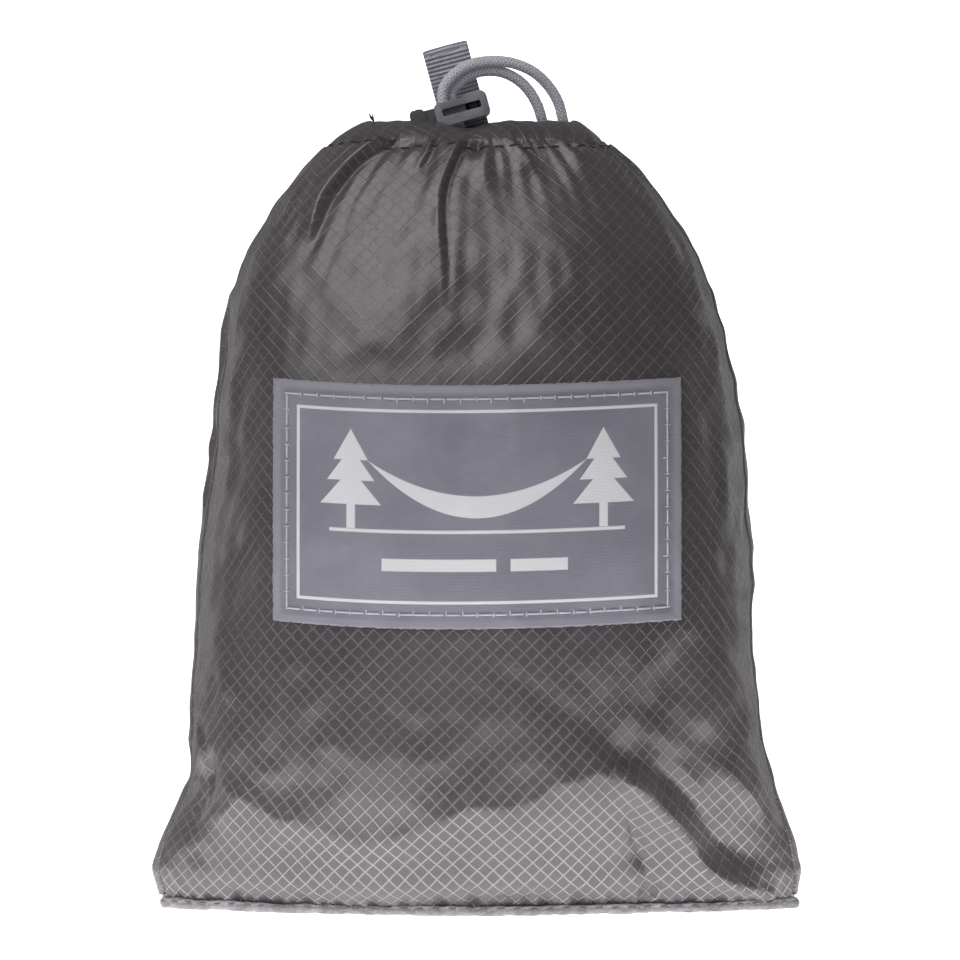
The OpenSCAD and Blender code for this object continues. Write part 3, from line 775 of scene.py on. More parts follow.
# Lapped folds of the front and back: line in x and z, height, reach of the high and low sides, fade at start and end.
LAPPED = [
    ("front", [(-6.4, 127), (-6.8, 139.3), (-7.4, 146.6), (-7.2, 152.4), (-5.7, 157.4), (-3.3, 162.8), (-0.3, 166)],
     2.5, 4.0, 2.2, 0.55, 0.0),
    ("front", [(-36, 140), (-33.5, 146.6), (-31.7, 151.2), (-28.9, 155.2), (-25, 159.3), (-21, 162.3), (-16.9, 164.2),
               (-11, 164.8)], 2.6, 5.5, 3.0, 0.3, 0.0),
    ("front", [(12.8, 156.8), (11.4, 159.9), (8.6, 163), (6.8, 165.6)], 1.5, 2.6, 1.6, 0.35, 0.0),
    ("front", [(-13.6, 156.4), (-10.4, 160.4), (-8.9, 165)], 1.3, 2.6, 1.8, 0.45, 0.0),
    ("front", [(27.0, 154.5), (22.0, 160.0), (17.5, 165.0)], 0.9, 3.4, 2.2, 0.5, 0.0),
    ("front", [(-57, 20), (-57.2, 29), (-59.4, 38), (-62.0, 47)], 1.3, 2.4, 2.4, 0.3, 0.3),
    ("back", [(-12.0, 140), (-8.0, 152), (-5.0, 164)], 1.8, 4.0, 2.6, 0.5, 0.0),
    ("back", [(16.0, 134), (11.5, 150), (8.0, 165)], 2.1, 5.0, 3.0, 0.5, 0.0),
    ("back", [(36.0, 143), (28.0, 155), (20.0, 165)], 1.6, 4.5, 3.0, 0.5, 0.0),
    ("back", [(-38.0, 145), (-29.0, 156), (-20.0, 166)], 1.9, 5.0, 3.0, 0.5, 0.0),
    ("back", [(56.0, 24), (44.0, 33), (30.0, 52)], 1.2, 5.0, 4.0, 0.4, 0.5),
]
# Soft ridges and valleys: line, height, width, softness of the crest, fade at start and end.
RIDGES = [
    ("front", [(20.3, 163.4), (27.8, 158.5), (33.5, 152.0)], 0.9, 2.4, 0.6, 0.1, 0.5),
    ("front", [(2.0, 164.5), (1.2, 158), (2.6, 150)], 0.9, 2.6, 0.8, 0.0, 0.6),
    ("front", [(0.4, 164.8), (0.2, 162.6), (0.9, 160.4)], -1.5, 1.1, 0.3, 0.0, 0.5),
    ("front", [(14.0, 164.4), (16.5, 158), (21.0, 150)], -0.7, 2.8, 0.8, 0.0, 0.6),
    ("front", [(28, 32), (35, 26), (42.7, 18), (47.5, 10.7), (54, 6.5), (67, 1.4)], 3.0, 2.6, 0.30, 0.10, 0.0),
    ("front", [(30.8, 25.5), (34, 16), (37.8, 4)], -1.7, 1.5, 0.35, 0.25, 0.0),
    ("front", [(37, 34), (45, 24.5), (52.5, 15), (61, 8)], -1.7, 2.8, 1.0, 0.25, 0.3),
    ("front", [(49.0, 34), (57, 25), (65.2, 14)], 1.5, 2.2, 0.6, 0.25, 0.25),
    ("front", [(42.3, 34), (46.5, 27), (50.5, 20.5)], 0.9, 1.5, 0.5, 0.3, 0.3),
    ("front", [(-64.5, 16.5), (-59.6, 22), (-57.5, 28), (-56.4, 38)], -1.7, 1.9, 0.6, 0.2, 0.4),
    ("front", [(-61.8, 24), (-60.2, 32), (-60.8, 44)], 1.2, 1.6, 0.5, 0.3, 0.4),
    ("front", [(-53.9, 128), (-55.6, 108), (-56, 86)], 0.9, 3.2, 1.5, 0.3, 0.3),
    ("front", [(-49.5, 126), (-50.6, 104), (-51.5, 84)], -0.8, 3.6, 1.5, 0.3, 0.3),
    ("front", [(50.0, 128), (54.5, 104), (54.5, 72)], 0.9, 3.6, 1.6, 0.3, 0.3),
    ("front", [(47.5, 124), (49.5, 100), (50.0, 80)], -0.7, 3.6, 1.6, 0.3, 0.3),
    ("front", [(-58, 66), (-54, 52), (-48, 40)], 0.9, 3.0, 1.2, 0.3, 0.4),
    ("front", [(46.0, 62), (40.0, 50), (36.0, 38)], -1.2, 4.5, 1.6, 0.3, 0.3),
    ("front", [(54.0, 58), (49.0, 46), (44.0, 36)], 1.0, 4.0, 1.6, 0.3, 0.3),
    ("front", [(-34, 50), (-16, 42), (0, 38)], -0.8, 6.0, 2.0, 0.3, 0.3),
    ("back", [(-62, 22), (-40, 29), (-10, 27), (20, 31), (60, 23)], 1.3, 7.0, 0.6, 0.1, 0.1),
    ("back", [(-50, 96), (-20, 88), (20, 92), (48, 84)], -1.1, 7.0, 2.0, 0.3, 0.3),
    ("back", [(-46, 118), (-10, 126), (30, 118)], 0.9, 6.0, 2.0, 0.3, 0.3),
    ("back", [(-36, 40), (0, 62), (38, 58)], 1.0, 6.5, 1.6, 0.3, 0.3),
]


# The wavy crease below which the front of the belly turns in towards the hem.
BELLY = [(-72, 24), (-62, 25), (-55, 28.5), (-48.5, 25), (-41.6, 21.8), (-33.6, 19.5), (-27.7, 17.6), (-19.9, 16.8),
         (-12.9, 19.3), (-8, 20.8), (-2, 24), (7, 24.2), (12.6, 26.8), (19.6, 30.1), (28, 32), (40, 33), (60, 36)]


def label_cover(x, z, front):
    """1 where the label holds the cloth flat."""
    wide = 1 - smooth(LABEL_W / 2 - 2, LABEL_W / 2 + 9, np.abs(x))
    tall = 1 - smooth(LABEL_H / 2 - 1, LABEL_H / 2 + 9, np.abs(z - LABEL_Z))
    return wide * tall * front


def mouth_gathers(share, size, down):
    """Gathers that run down from the mouth, given the real distance round at each height."""
    rng = np.random.default_rng(11)
    total = np.zeros(np.broadcast(share, down).shape)
    for k in range(30):
        middle = (k + rng.uniform(-0.3, 0.3)) / 30
        lean = rng.uniform(-0.0006, 0.0006)
        reach = rng.choice([9, 13, 20, 32], p=[0.35, 0.3, 0.2, 0.15]) * rng.uniform(0.8, 1.2)
        width = rng.uniform(1.3, 1.9)
        high = rng.uniform(0.7, 1.25)
        off = (share - middle - lean * down + 0.5) % 1 - 0.5
        total += high * np.exp(-((off * size / width) ** 2)) * np.exp(-((np.maximum(down, 0) / reach) ** 1.5))
        total -= 0.6 * high * hump(off * size, 2.4, 0.9) * np.exp(-np.maximum(down, 0) / (0.6 * reach))
    return total - 0.3


def cloth_relief(points, share, size, down):
    """How far the wall's cloth stands out from its plain shape, in mm."""
    x, y, z = points[..., 0], points[..., 1], points[..., 2]
    around = share * CLOTH_ROUND
    deep = np.maximum(profile(z)[1], 1.0)
    front = smooth(0.02, 0.5, -y / deep)
    back = smooth(0.02, 0.5, y / deep)
    face = {"front": front, "back": back}
    top = smooth(122, 160, z)
    side = smooth(0.75, 1.0, np.abs(x) / profile(z)[0])
    total = mouth_gathers(share, size, down) * (1 - 0.72 * front) * (1 - 0.6 * side)
    for side, route, height, high, low, start, stop in LAPPED:
        d, along = line_place(x, z, route)
        fade = smooth(0, start + 1e-6, along) * (1 - smooth(1 - stop - 1e-6, 1, along))
        total = total + fold_over(d, height, high, low) * fade * face[side]
    for side, route, height, width, soft, start, stop in RIDGES:
        d, along = line_place(x, z, route)
        fade = smooth(0, start + 1e-6, along) * (1 - smooth(1 - stop - 1e-6, 1, along))
        total = total + crest(d, height, width, soft) * fade * face[side]
    pack = ripple(around, z, 3, 6, 55, 110) * 0.9 + ripple(around, z, 4, 8, 24, 46) * 0.42
    total = total + pack * smooth(4, 30, z) * (1 - 0.5 * top)
    creases = np.abs(ripple(around, z, 5, 7, 16, 30)) - 0.6
    total = total - 0.32 * creases * smooth(2, 14, z) * (1 - top)
    d, _ = line_place(x, z, BELLY)
    belly = 3.2 * np.where(d > 0, np.exp(-d / 8.0), np.clip(1 + d / 20.0, 0, 1))
    corner = smooth(2, 11, (x - 26) - 1.4 * (32 - z)) * smooth(14, 24, z)
    total = total + belly * front * smooth(62, 50, np.abs(x)) * (1 - smooth(24, 34, x) * (d > 0)) * (1 - corner)
    low = 1 - smooth(0, 13, z)
    pucker = ripple(around, 0.25 * z, 6, 5, 2.6, 5.5)
    total = total + 0.26 * pucker * low
    total = total + (0.9 * hump(z, 6.5, 4.0) - 0.7 * (1 - smooth(0.5, 3.0, z))) * front
    total = total - 0.35 * hump(z, NECK_Z - 0.4, 0.7)
    total = total + 0.10 * ripple(around, z, 8, 9, 5, 11)
    return total * (1 - 0.93 * label_cover(x, z, front))


def casing_rows(lip, gather):
    """The puckered casing: up over the lip and down inside it."""
    section = soft_line(CASING_SECTION, 2)
    a, b = 29.55, 10.84
    px, py, _ = even_oval(a, b, 2.2, SHARES)
    flat = np.stack([px, py], -1)
    along = np.roll(flat, -1, 0) - np.roll(flat, 1, 0)
    out = np.stack([along[:, 1], -along[:, 0]], -1)
    out /= np.linalg.norm(out, axis=1, keepdims=True)
    rows = []
    for k, (o, up) in enumerate(section):
        share = k / (len(section) - 1)
        bulge = gather * (1 - 0.35 * share)
        tall = NECK_Z + up * np.where(up > 0, lip, 1.0)
        shift = o + bulge * (1 if o > 0 else -0.55) * abs(o) / 2.4 - 1.2 * up / CASING_H
        place = flat + out * np.atleast_1d(shift)[:, None]
        place[:, 0] = settle(place[:, 0], NECK_Z + max(up, 0.0))
        rows.append(np.concatenate([place, np.broadcast_to(tall, px.shape)[:, None]], 1))
    return rows


def make_sack():
    share = SHARES[None, :]
    s = np.linspace(0, 1, WALL_ROWS)
    heights = 0.4 + (NECK_Z - 0.4) * (s - 0.035 * np.sin(2 * np.pi * s))
    wall, sizes = zip(*(ring(z) for z in heights))
    wall, sizes = np.array(wall), np.array(sizes)[:, None]
    down = NECK_Z - wall[..., 2]
    relief = cloth_relief(wall, share, sizes, down)
    out = outward(wall)
    plain = wall
    wall = plain + out * relief[..., None]
    front = 1 - smooth(0.52, 0.60, SHARES) * (1 - smooth(0.90, 0.98, SHARES))
    lip = 0.93 + 0.07 * ripple(SHARES * CLOTH_ROUND, 0, 21, 5, 9, 26) * (1.3 - front)
    lip = lip - 0.33 * hump(SHARES, 0.232, 0.035) - 0.28 * (1 - front)
    gather = np.clip(relief[-1], -0.9, 0.9) * 0.8
    casing = np.array(casing_rows(lip, gather))
    inner_z = np.linspace(NECK_Z - 4, LINING_END, 22)
    lining = []
    for z in inner_z:
        points, _ = ring(z)
        row = int(np.argmin(np.abs(heights - z)))
        lining.append(points - out[row] * (2.1 - np.clip(relief[row], -2.5, 0.8))[:, None])
    base_ring = ring(0.0)[0]
    base = [base_ring * (k, k, 1) + (0, 0, 0.25 + 0.5 * (1 - k)) for k in (0.06, 0.25, 0.5, 0.72, 0.88, 0.97)]
    points = np.concatenate([np.array(base), wall, casing[1:], np.array(lining)])
    plain_all = np.concatenate([np.array(base), plain, casing[1:], np.array(lining)])
    step = np.linalg.norm(np.diff(plain_all, axis=0), axis=2)
    tall = np.concatenate([np.zeros((1, COLUMNS)), np.cumsum(step, axis=0)])
    loop = np.linalg.norm(np.roll(plain_all, -1, 1) - plain_all, axis=2).sum(1, keepdims=True)
    panel = np.where(SHARES < 0.5, SHARES - 0.25, SHARES - 0.75)
    around = panel * loop + np.where(SHARES < 0.5, 0.0, 0.5 * CLOTH_ROUND)
    tall = np.broadcast_to(tall.mean(1, keepdims=True), tall.shape)
    faces = grid_faces(len(points), COLUMNS, True)
    faces.append(list(range(COLUMNS - 1, -1, -1)))
    obj = new_object("stuff_sack_cloth", points, faces)
    set_grid_uv(obj, around, tall, True)
    return obj, points, len(base), wall


cloth, cloth_points, base_rows, wall_grid = make_sack()
cloth_tree = BVHTree.FromPolygons(
    (cloth_points.reshape(-1, 3)).tolist(), [list(p.vertices) for p in cloth.data.polygons])


def on_cloth(x, z):
    """The point of the sack's front at x and z, or None beside the sack."""
    hit = cloth_tree.ray_cast(Vector((x, -90.0, z)), Vector((0, 1, 0)))[0]
    return None if hit is None else np.array(hit)


def make_label():
    """Woven label: cut with a sagging lower edge, sewn down, its edges slightly frayed."""
    cols, rows = 175, 105
    u = np.linspace(-LABEL_W / 2, LABEL_W / 2, cols)
    v = np.linspace(-LABEL_H / 2, LABEL_H / 2, rows)
    uu, vv = np.meshgrid(u, v)
    fray = 0.05 * ripple(uu, vv, 31, 9, 0.9, 2.2)
    edge_u = smooth(LABEL_W / 2 - 0.8, LABEL_W / 2, np.abs(uu)) * np.sign(uu)
    edge_v = smooth(LABEL_H / 2 - 0.8, LABEL_H / 2, np.abs(vv)) * np.sign(vv)
    x = uu + edge_u * fray * 1.6
    z = LABEL_Z + vv - 1.5 * (1 - (2 * uu / LABEL_W) ** 2) + edge_v * fray * 1.6
    z = z + 0.35 * np.sin(uu / 21.0) - 0.25 * (uu / 43.0)
    a, b, n = profile(z)
    y = -b * (1 - np.minimum(np.abs(x) / a, 1) ** n) ** (1 / n)
    hits = np.zeros_like(y)
    for i in range(0, rows, 4):
        for j in range(0, cols, 4):
            point = on_cloth(x[i, j], z[i, j])
            hits[i, j] = point[1] - y[i, j]
    coarse = hits[::4, ::4]
    gi, gj = np.arange(rows) / 4, np.arange(cols) / 4
    i0, j0 = np.minimum(gi.astype(int), coarse.shape[0] - 2), np.minimum(gj.astype(int), coarse.shape[1] - 2)
    fi, fj = (gi - i0)[:, None], (gj - j0)[None, :]
    grid = lambda di, dj: coarse[(i0 + di)[:, None], (j0 + dj)[None, :]]
    y = y + (grid(0, 0) * (1 - fi) * (1 - fj) + grid(1, 0) * fi * (1 - fj) + grid(0, 1) * (1 - fi) * fj
             + grid(1, 1) * fi * fj)
    seam = np.minimum(LABEL_W / 2 - np.abs(uu), LABEL_H / 2 - np.abs(vv))
    held = hump(seam, 2.9, 1.0)
    puff = 0.26 * smooth(3.0, 12.0, seam) + 0.16 * ripple(uu, vv, 32, 8, 14, 34) * smooth(3, 9, seam)
    edge_lift = 0.22 * (1 - smooth(0.2, 2.4, seam)) * (1 + 0.8 * ripple(uu, vv, 33, 5, 7, 18))
    pull = 0.07 * np.cos(2 * np.pi * (uu + vv) / 3.4)
    y = y - (0.62 + puff + edge_lift - held * (0.16 + pull))
    front = np.stack([x, y, z], -1)
    thick = 0.42
    back = front + np.array([0, thick, 0])
    verts = np.concatenate([front.reshape(-1, 3), back.reshape(-1, 3)])
    total = rows * cols
    faces = grid_faces(rows, cols, False)
    faces += [[f[3] + total, f[2] + total, f[1] + total, f[0] + total] for f in grid_faces(rows, cols, False)]
    rim = list(range(cols)) + [cols * k + cols - 1 for k in range(1, rows)]
    rim += [cols * (rows - 1) + k for k in range(cols - 2, -1, -1)] + [cols * k for k in range(rows - 2, 0, -1)]
    faces += [[rim[k], rim[k - 1], rim[k - 1] + total, rim[k] + total] for k in range(len(rim))]
    obj = new_object("woven_label_cloth", verts, faces)
    flat = np.concatenate([np.stack([uu, vv], -1).reshape(-1, 2)] * 2) * MM
    loops = np.empty(len(obj.data.loops), int)
    obj.data.loops.foreach_get("vertex_index", loops)
    obj.data.uv_layers.new(name=CLOTH_UV).data.foreach_set("uv", flat[loops].reshape(-1))
    finish_piece(obj, label_material(), "woven_label", SACK, "label")

    def at(pu, pv):
        i = int(round((pv + LABEL_H / 2) / LABEL_H * (rows - 1)))
        j = int(round((pu + LABEL_W / 2) / LABEL_W * (cols - 1)))
        return front[min(max(i, 0), rows - 1), min(max(j, 0), cols - 1)]

    rng = np.random.default_rng(41)
    heap = Heap()
    inset, pitch = 2.9, 3.4
    wide, tall = LABEL_W / 2 - inset, LABEL_H / 2 - inset
    corners = [(-wide, -tall), (wide, -tall), (wide, tall), (-wide, tall), (-wide, -tall)]
    for (x0, z0), (x1, z1) in zip(corners, corners[1:]):
        length = math.hypot(x1 - x0, z1 - z0)
        count = round(length / pitch)
        along = np.array([x1 - x0, z1 - z0]) / length
        cross = np.array([-along[1], along[0]])
        for k in range(count):
            s0 = length * (k + 0.06) / count
            s1 = length * (k + 0.97) / count
            drift = rng.uniform(-0.16, 0.16, 2)
            p0 = np.array([x0, z0]) + along * s0 + cross * drift[0]
            p1 = np.array([x0, z0]) + along * s1 + cross * (drift[1] + 0.12)
            mid = (p0 + p1) / 2 + cross * rng.uniform(-0.08, 0.08)
            raise_by = (0, -0.02, 0), (0, -0.24, 0), (0, -0.02, 0)
            points = [at(*p) + np.array(r) for p, r in zip((p0, mid, p1), raise_by)]
            thread(heap, points, 0.20)
            tick = p0 + cross * 0.72
            start, middle, end = at(*(p0 - cross * 0.28)), at(*p0), at(*tick)
            thread(heap, [start + (0, -0.05, 0), middle + (0, -0.2, 0), end + (0, -0.03, 0)], 0.14)
    white = thread_material("white_thread", srgb(168, 166, 178), srgb(232, 230, 240))
    finish_piece(heap.object("label_stitches"), white, "white_thread", SACK, "label_stitching")
    return white


def hem_line(count, out):
    """Points along the front of the base's edge, set out from it."""
    a, b, n = 66.3, 22.4, 1.5
    share = np.linspace(0.0, 0.5, count)
    x, y, _ = even_oval(a, b, n, share)
    x = settle(x, 1.0)
    dx, dy = np.gradient(x), np.gradient(y)
    size = np.hypot(dx, dy)
    return x + dy / size * out, y - dx / size * out, np.stack([dy / size, -dx / size], -1)


def make_hem():
    """Rolled hem along the bottom of the front, puckered at each stitch, with flat ears at both ends."""
    count, around = 460, 30
    x, y, normal = hem_line(count, 0.55)
    s = np.linspace(0, 1, count)
    length = s * 148.0
    angle = np.linspace(0, 2 * np.pi, around, endpoint=False)
    pinch = 0.5 + 0.5 * np.cos(2 * np.pi * length / 3.5)
    uneven = ripple(length, 0, 51, 6, 5, 15)
    ear = np.maximum(1 - smooth(0.0, 0.10, s), smooth(0.90, 1.0, s))
    tall = 1.08 + 0.10 * uneven - 0.10 * pinch + 0.25 * ear
    deep = 0.85 + 0.10 * ripple(length, 0, 52, 6, 3, 9) - 0.16 * pinch + 0.2 * ear
    lift = 1.12 + 0.12 * ripple(length, 0, 53, 5, 8, 24)
    close = np.sqrt(np.clip(np.minimum(s, 1 - s) / 0.012, 0.03, 1))
    deep, tall = deep * close, tall * close
    section_x = signed_pow(np.cos(angle), 0.7)
    section_z = signed_pow(np.sin(angle), 0.7)
    crumple = 0.05 * ripple(length[:, None], 6 * angle[None, :], 54, 8, 1.8, 5.0)
    out = deep[:, None] * section_x + crumple
    up = np.maximum(lift[:, None] + tall[:, None] * section_z + crumple, 0.02)
    groove = 0.25 * hump(up, 1.6, 0.25)
    out = out - groove * (section_x > 0)
    points = np.stack([x[:, None] + normal[:, :1] * out, y[:, None] + normal[:, 1:] * out, up], -1)
    faces = grid_faces(count, around, True)
    faces.append(list(range(around - 1, -1, -1)))
    faces.append([(count - 1) * around + k for k in range(around)])
    obj = new_object("bottom_hem_roll", points, faces)
    turn = np.broadcast_to(angle[None, :] / (2 * np.pi) * 9.0, (count, around))
    set_grid_uv(obj, turn, np.broadcast_to(length[:, None], (count, around)), True)
    finish_piece(obj, hem_material(), "hem_fabric", SACK, "bottom_hem")
    heap = Heap()
    rng = np.random.default_rng(42)
    for k in range(42):
        at = (k + 0.5) / 42
        row = int(at * (count - 1))
        px, py = x[row] + normal[row, 0] * (deep[row] + 0.05), y[row] + normal[row, 1] * (deep[row] + 0.05)
        ahead = np.array([-normal[row, 1], normal[row, 0]])
        half = rng.uniform(0.75, 1.0)
        z = 1.6 + rng.uniform(-0.1, 0.1)
        thread(heap, [(px - ahead[0] * half - normal[row, 0] * 0.3, py - ahead[1] * half - normal[row, 1] * 0.3, z - 0.06),
                      (px + normal[row, 0] * 0.06, py + normal[row, 1] * 0.06, z),
                      (px + ahead[0] * half - normal[row, 0] * 0.3, py + ahead[1] * half - normal[row, 1] * 0.3, z + 0.06)],
               0.17)
    grey = thread_material("grey_thread", srgb(64, 59, 64), srgb(120, 115, 120))
    finish_piece(heap.object("hem_stitches"), grey, "grey_thread", SACK, "hem_stitching")
    return grey


def make_casing_stitches():
    """Line of stitches that closes the drawcord casing, and loose thread ends at its seams."""
    row = base_rows + WALL_ROWS - 2
    line = cloth_points[row]
    lift = outward(cloth_points[row - 2 : row + 3])[2]
    heap = Heap()
    stitches = 44
    rng = np.random.default_rng(43)
    for k in range(stitches):
        j0 = COLUMNS * k / stitches + 1.0
        j1 = j0 + COLUMNS / stitches * rng.uniform(0.55, 0.75)
        js = [int(round(j)) % COLUMNS for j in np.linspace(j0, j1, 4)]
        heights = (-0.02, 0.20, 0.20, -0.02)
        thread(heap, [line[j] + lift[j] * h for j, h in zip(js, heights)], 0.21)
    for x, z, lean in ((-22.0, 168.2, -1), (24.5, 167.6, 1)):
        root = on_cloth(x, z)
        if root is None:
            continue
        for k in range(4):
            aim = rng.uniform(-0.8, 0.8, 3) + (lean * 0.4, -0.2, 1.0)
            bend = rng.uniform(-0.5, 0.5, 3)
            thread(heap, [root, root + aim * 0.7, root + aim * 1.25 + bend], 0.13)
    # Painted shade: the same grey thread as the hem stitches, coloured about half as light at the neck under the lip.
    dark = thread_material("grey_thread_painted_shade", srgb(30, 27, 30), srgb(52, 47, 51))
    finish_piece(heap.object("casing_stitches"), dark, "grey_thread", SACK, "casing_stitching")


def make_side_seams():
    """Flat-felled seams up both sides: a folded strip with two shallow grooves where its rows of stitches would lie.
    """
    # Painted light: the seam strip is the sack's nylon given lighter colours than the sack itself.
    strip = ripstop_material("ripstop_seam", srgb(84, 78, 82), srgb(104, 98, 102), srgb(138, 134, 138))
    normal = outward(wall_grid)
    for name, middle in (("side_seam_left", 0), ("side_seam_right", COLUMNS // 2)):
        rows = np.arange(3, WALL_ROWS - 1)
        offsets = np.linspace(-2.2, 2.2, 15)
        pitch = 0.70
        grid = []
        for i in rows:
            line = []
            for o in offsets:
                at = middle + o / pitch
                j = int(math.floor(at))
                f = at - j
                p = wall_grid[i, j % COLUMNS] * (1 - f) + wall_grid[i, (j + 1) % COLUMNS] * f
                nrm = normal[i, j % COLUMNS] * (1 - f) + normal[i, (j + 1) % COLUMNS] * f
                edge = 1 - smooth(1.75, 2.2, abs(o))
                tuck = 0.13 * hump(abs(o), 1.35, 0.25)
                wob = 0.06 * math.sin(i * 0.9 + o)
                line.append(p + nrm * (0.10 + 0.42 * edge - tuck + wob * edge))
            grid.append(line)
        top = np.array(grid)
        under = top - np.array([normal[rows, middle]]).transpose(1, 0, 2) * 0.35
        n_rows, n_cols = top.shape[:2]
        verts = np.concatenate([top.reshape(-1, 3), under.reshape(-1, 3)])
        total = n_rows * n_cols
        faces = grid_faces(n_rows, n_cols, False)
        faces += [[f[3] + total, f[2] + total, f[1] + total, f[0] + total] for f in grid_faces(n_rows, n_cols, False)]
        rim = list(range(n_cols)) + [n_cols * k + n_cols - 1 for k in range(1, n_rows)]
        rim += [n_cols * (n_rows - 1) + k for k in range(n_cols - 2, -1, -1)]
        rim += [n_cols * k for k in range(n_rows - 2, 0, -1)]
        faces += [[rim[k], rim[k - 1], rim[k - 1] + total, rim[k] + total] for k in range(len(rim))]
        obj = new_object(name + "_strip", verts, faces)
        tall = np.concatenate([[0], np.cumsum(np.linalg.norm(np.diff(top[:, 7], axis=0), axis=1))])
        flat = np.stack(np.broadcast_arrays(offsets[None, :], tall[:, None]), -1).reshape(-1, 2)
        flat = np.concatenate([flat, flat]) * MM
        loops = np.empty(len(obj.data.loops), int)
        obj.data.loops.foreach_get("vertex_index", loops)
        obj.data.uv_layers.new(name=CLOTH_UV).data.foreach_set("uv", flat[loops].reshape(-1))
        finish_piece(obj, strip, "ripstop_nylon", SACK, name)


# ---------------------------------------------------------------- cord lock and hang loop
LOCK_AT = np.array([-5.8, -2.2, 170.3])
LOCK_TILT = math.radians(15)
LOCK_U = np.array([math.cos(LOCK_TILT), 0, math.sin(LOCK_TILT)])
LOCK_V = np.array([-math.sin(LOCK_TILT), 0, math.cos(LOCK_TILT)])
WEBBING_MIDDLE = 5.75


def in_lock(u, y, v):
    """A point of the cord lock's own axes in the row frame."""
    return LOCK_AT + np.multiply.outer(np.asarray(u, float), LOCK_U) + np.multiply.outer(
        np.asarray(v, float), LOCK_V) + np.multiply.outer(np.asarray(y, float), np.array([0, 1.0, 0]))


def make_webbing(grey):
    """Folded strap: ribs across it, warp cords along it, and a turned edge at each side."""
    half_w, half_t = 4.85, 0.52
    arc = np.linspace(math.pi, 0, 13)[1:-1]
    route = [(-0.65, -6.5), (-0.65, -3.0), (-0.65, 0.5), (-0.75, 3.0), (-1.2, 5.8), (-1.55, 8.4), (-1.6, 10.2)]
    route += [(1.6 * math.cos(t), 11.9 + 1.6 * math.sin(t)) for t in arc]
    route += [(-y, v) for y, v in reversed(route[:7])]
    path, length = even_path(np.array([(0, y, v) for y, v in soft_line(route, 8)]), 0.12)
    ahead = np.gradient(path, axis=0)
    ahead /= np.linalg.norm(ahead, axis=1, keepdims=True)
    out = np.stack([0 * ahead[:, 0], -ahead[:, 2], ahead[:, 1]], -1)
    around = 72
    angle = np.linspace(0, 2 * np.pi, around, endpoint=False)
    flat_u = half_w * signed_pow(np.cos(angle), 0.42)
    flat_t = signed_pow(np.sin(angle), 0.42)
    rib = np.abs(np.sin(np.pi * length / WEB_RIB))[:, None]
    other = np.abs(np.cos(np.pi * length / WEB_RIB))[:, None]
    warp = 0.03 * np.cos(2 * np.pi * flat_u / 0.8)[None, :]
    face = np.where(flat_t > 0, rib, other)
    thick = (half_t - 0.09 + 0.13 * face + warp) * flat_t
    edge = smooth(0.90, 1.0, np.abs(flat_u) / half_w)
    wide = flat_u * (1 + 0.024 * (rib - 0.5) * edge[None, :])
    bow = 0.10 * ripple(length[:, None], flat_u[None, :], 61, 5, 9, 22)
    local = path[:, None] + (thick + bow)[..., None] * out[:, None]
    points = in_lock(wide + 2.5, local[..., 1] + WEBBING_MIDDLE, local[..., 2])
    faces = grid_faces(len(path), around, True)
    faces.append(list(range(around - 1, -1, -1)))
    faces.append([(len(path) - 1) * around + k for k in range(around)])
    obj = new_object("hang_loop_webbing", points, faces)
    loop_u = np.broadcast_to(flat_u[None, :], (len(path), around)).copy()
    set_grid_uv(obj, loop_u, np.broadcast_to(length[:, None], (len(path), around)), False)
    finish_piece(obj, webbing_material(), "webbing", SACK, "webbing_loop")
    heap = Heap()
    for k in range(19):
        u = -1.9 + 8.8 * k / 18
        v0, v1 = (-5.6, -4.2) if k % 2 else (-4.2, -5.6)
        for side in (-1, 1):
            y = WEBBING_MIDDLE + side * 1.22
            thread(heap, [in_lock(u - 0.25, y - side * 0.25, v0), in_lock(u, y + side * 0.05, (v0 + v1) / 2),
                          in_lock(u + 0.25, y - side * 0.25, v1)], 0.17)
    finish_piece(heap.object("webbing_bartack_stitches"), grey, "grey_thread", SACK, "webbing_bartack")


def refined(node, name, mat, slot, body, bevel, angle=32):
    """A copy of a rigid CAD node with rounded edges and smooth curved faces."""
    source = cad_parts[node]
    mesh = source.data.copy()
    obj = linked(name, mesh)
    obj.matrix_world = source.matrix_world
    weld = obj.modifiers.new("weld", "WELD")
    weld.merge_threshold = 0.00001
    flat = obj.modifiers.new("planar", "DECIMATE")
    flat.decimate_type = "DISSOLVE"
    flat.angle_limit = math.radians(1.5)
    edge = obj.modifiers.new("bevel", "BEVEL")
    edge.width = bevel * MM
    edge.segments = 3
    edge.limit_method = "ANGLE"
    edge.angle_limit = math.radians(angle)
    edge.use_clamp_overlap = True
    shaped = bpy.data.meshes.new_from_object(obj.evaluated_get(bpy.context.evaluated_depsgraph_get()))
    bpy.data.objects.remove(obj)
    obj = linked(name, shaped)
    shaped.polygons.foreach_set("use_smooth", [True] * len(shaped.polygons))
    shaped.set_sharp_from_angle(angle=math.radians(38))
    obj.matrix_world = source.matrix_world
    return finish_piece(obj, mat, slot, body, node)


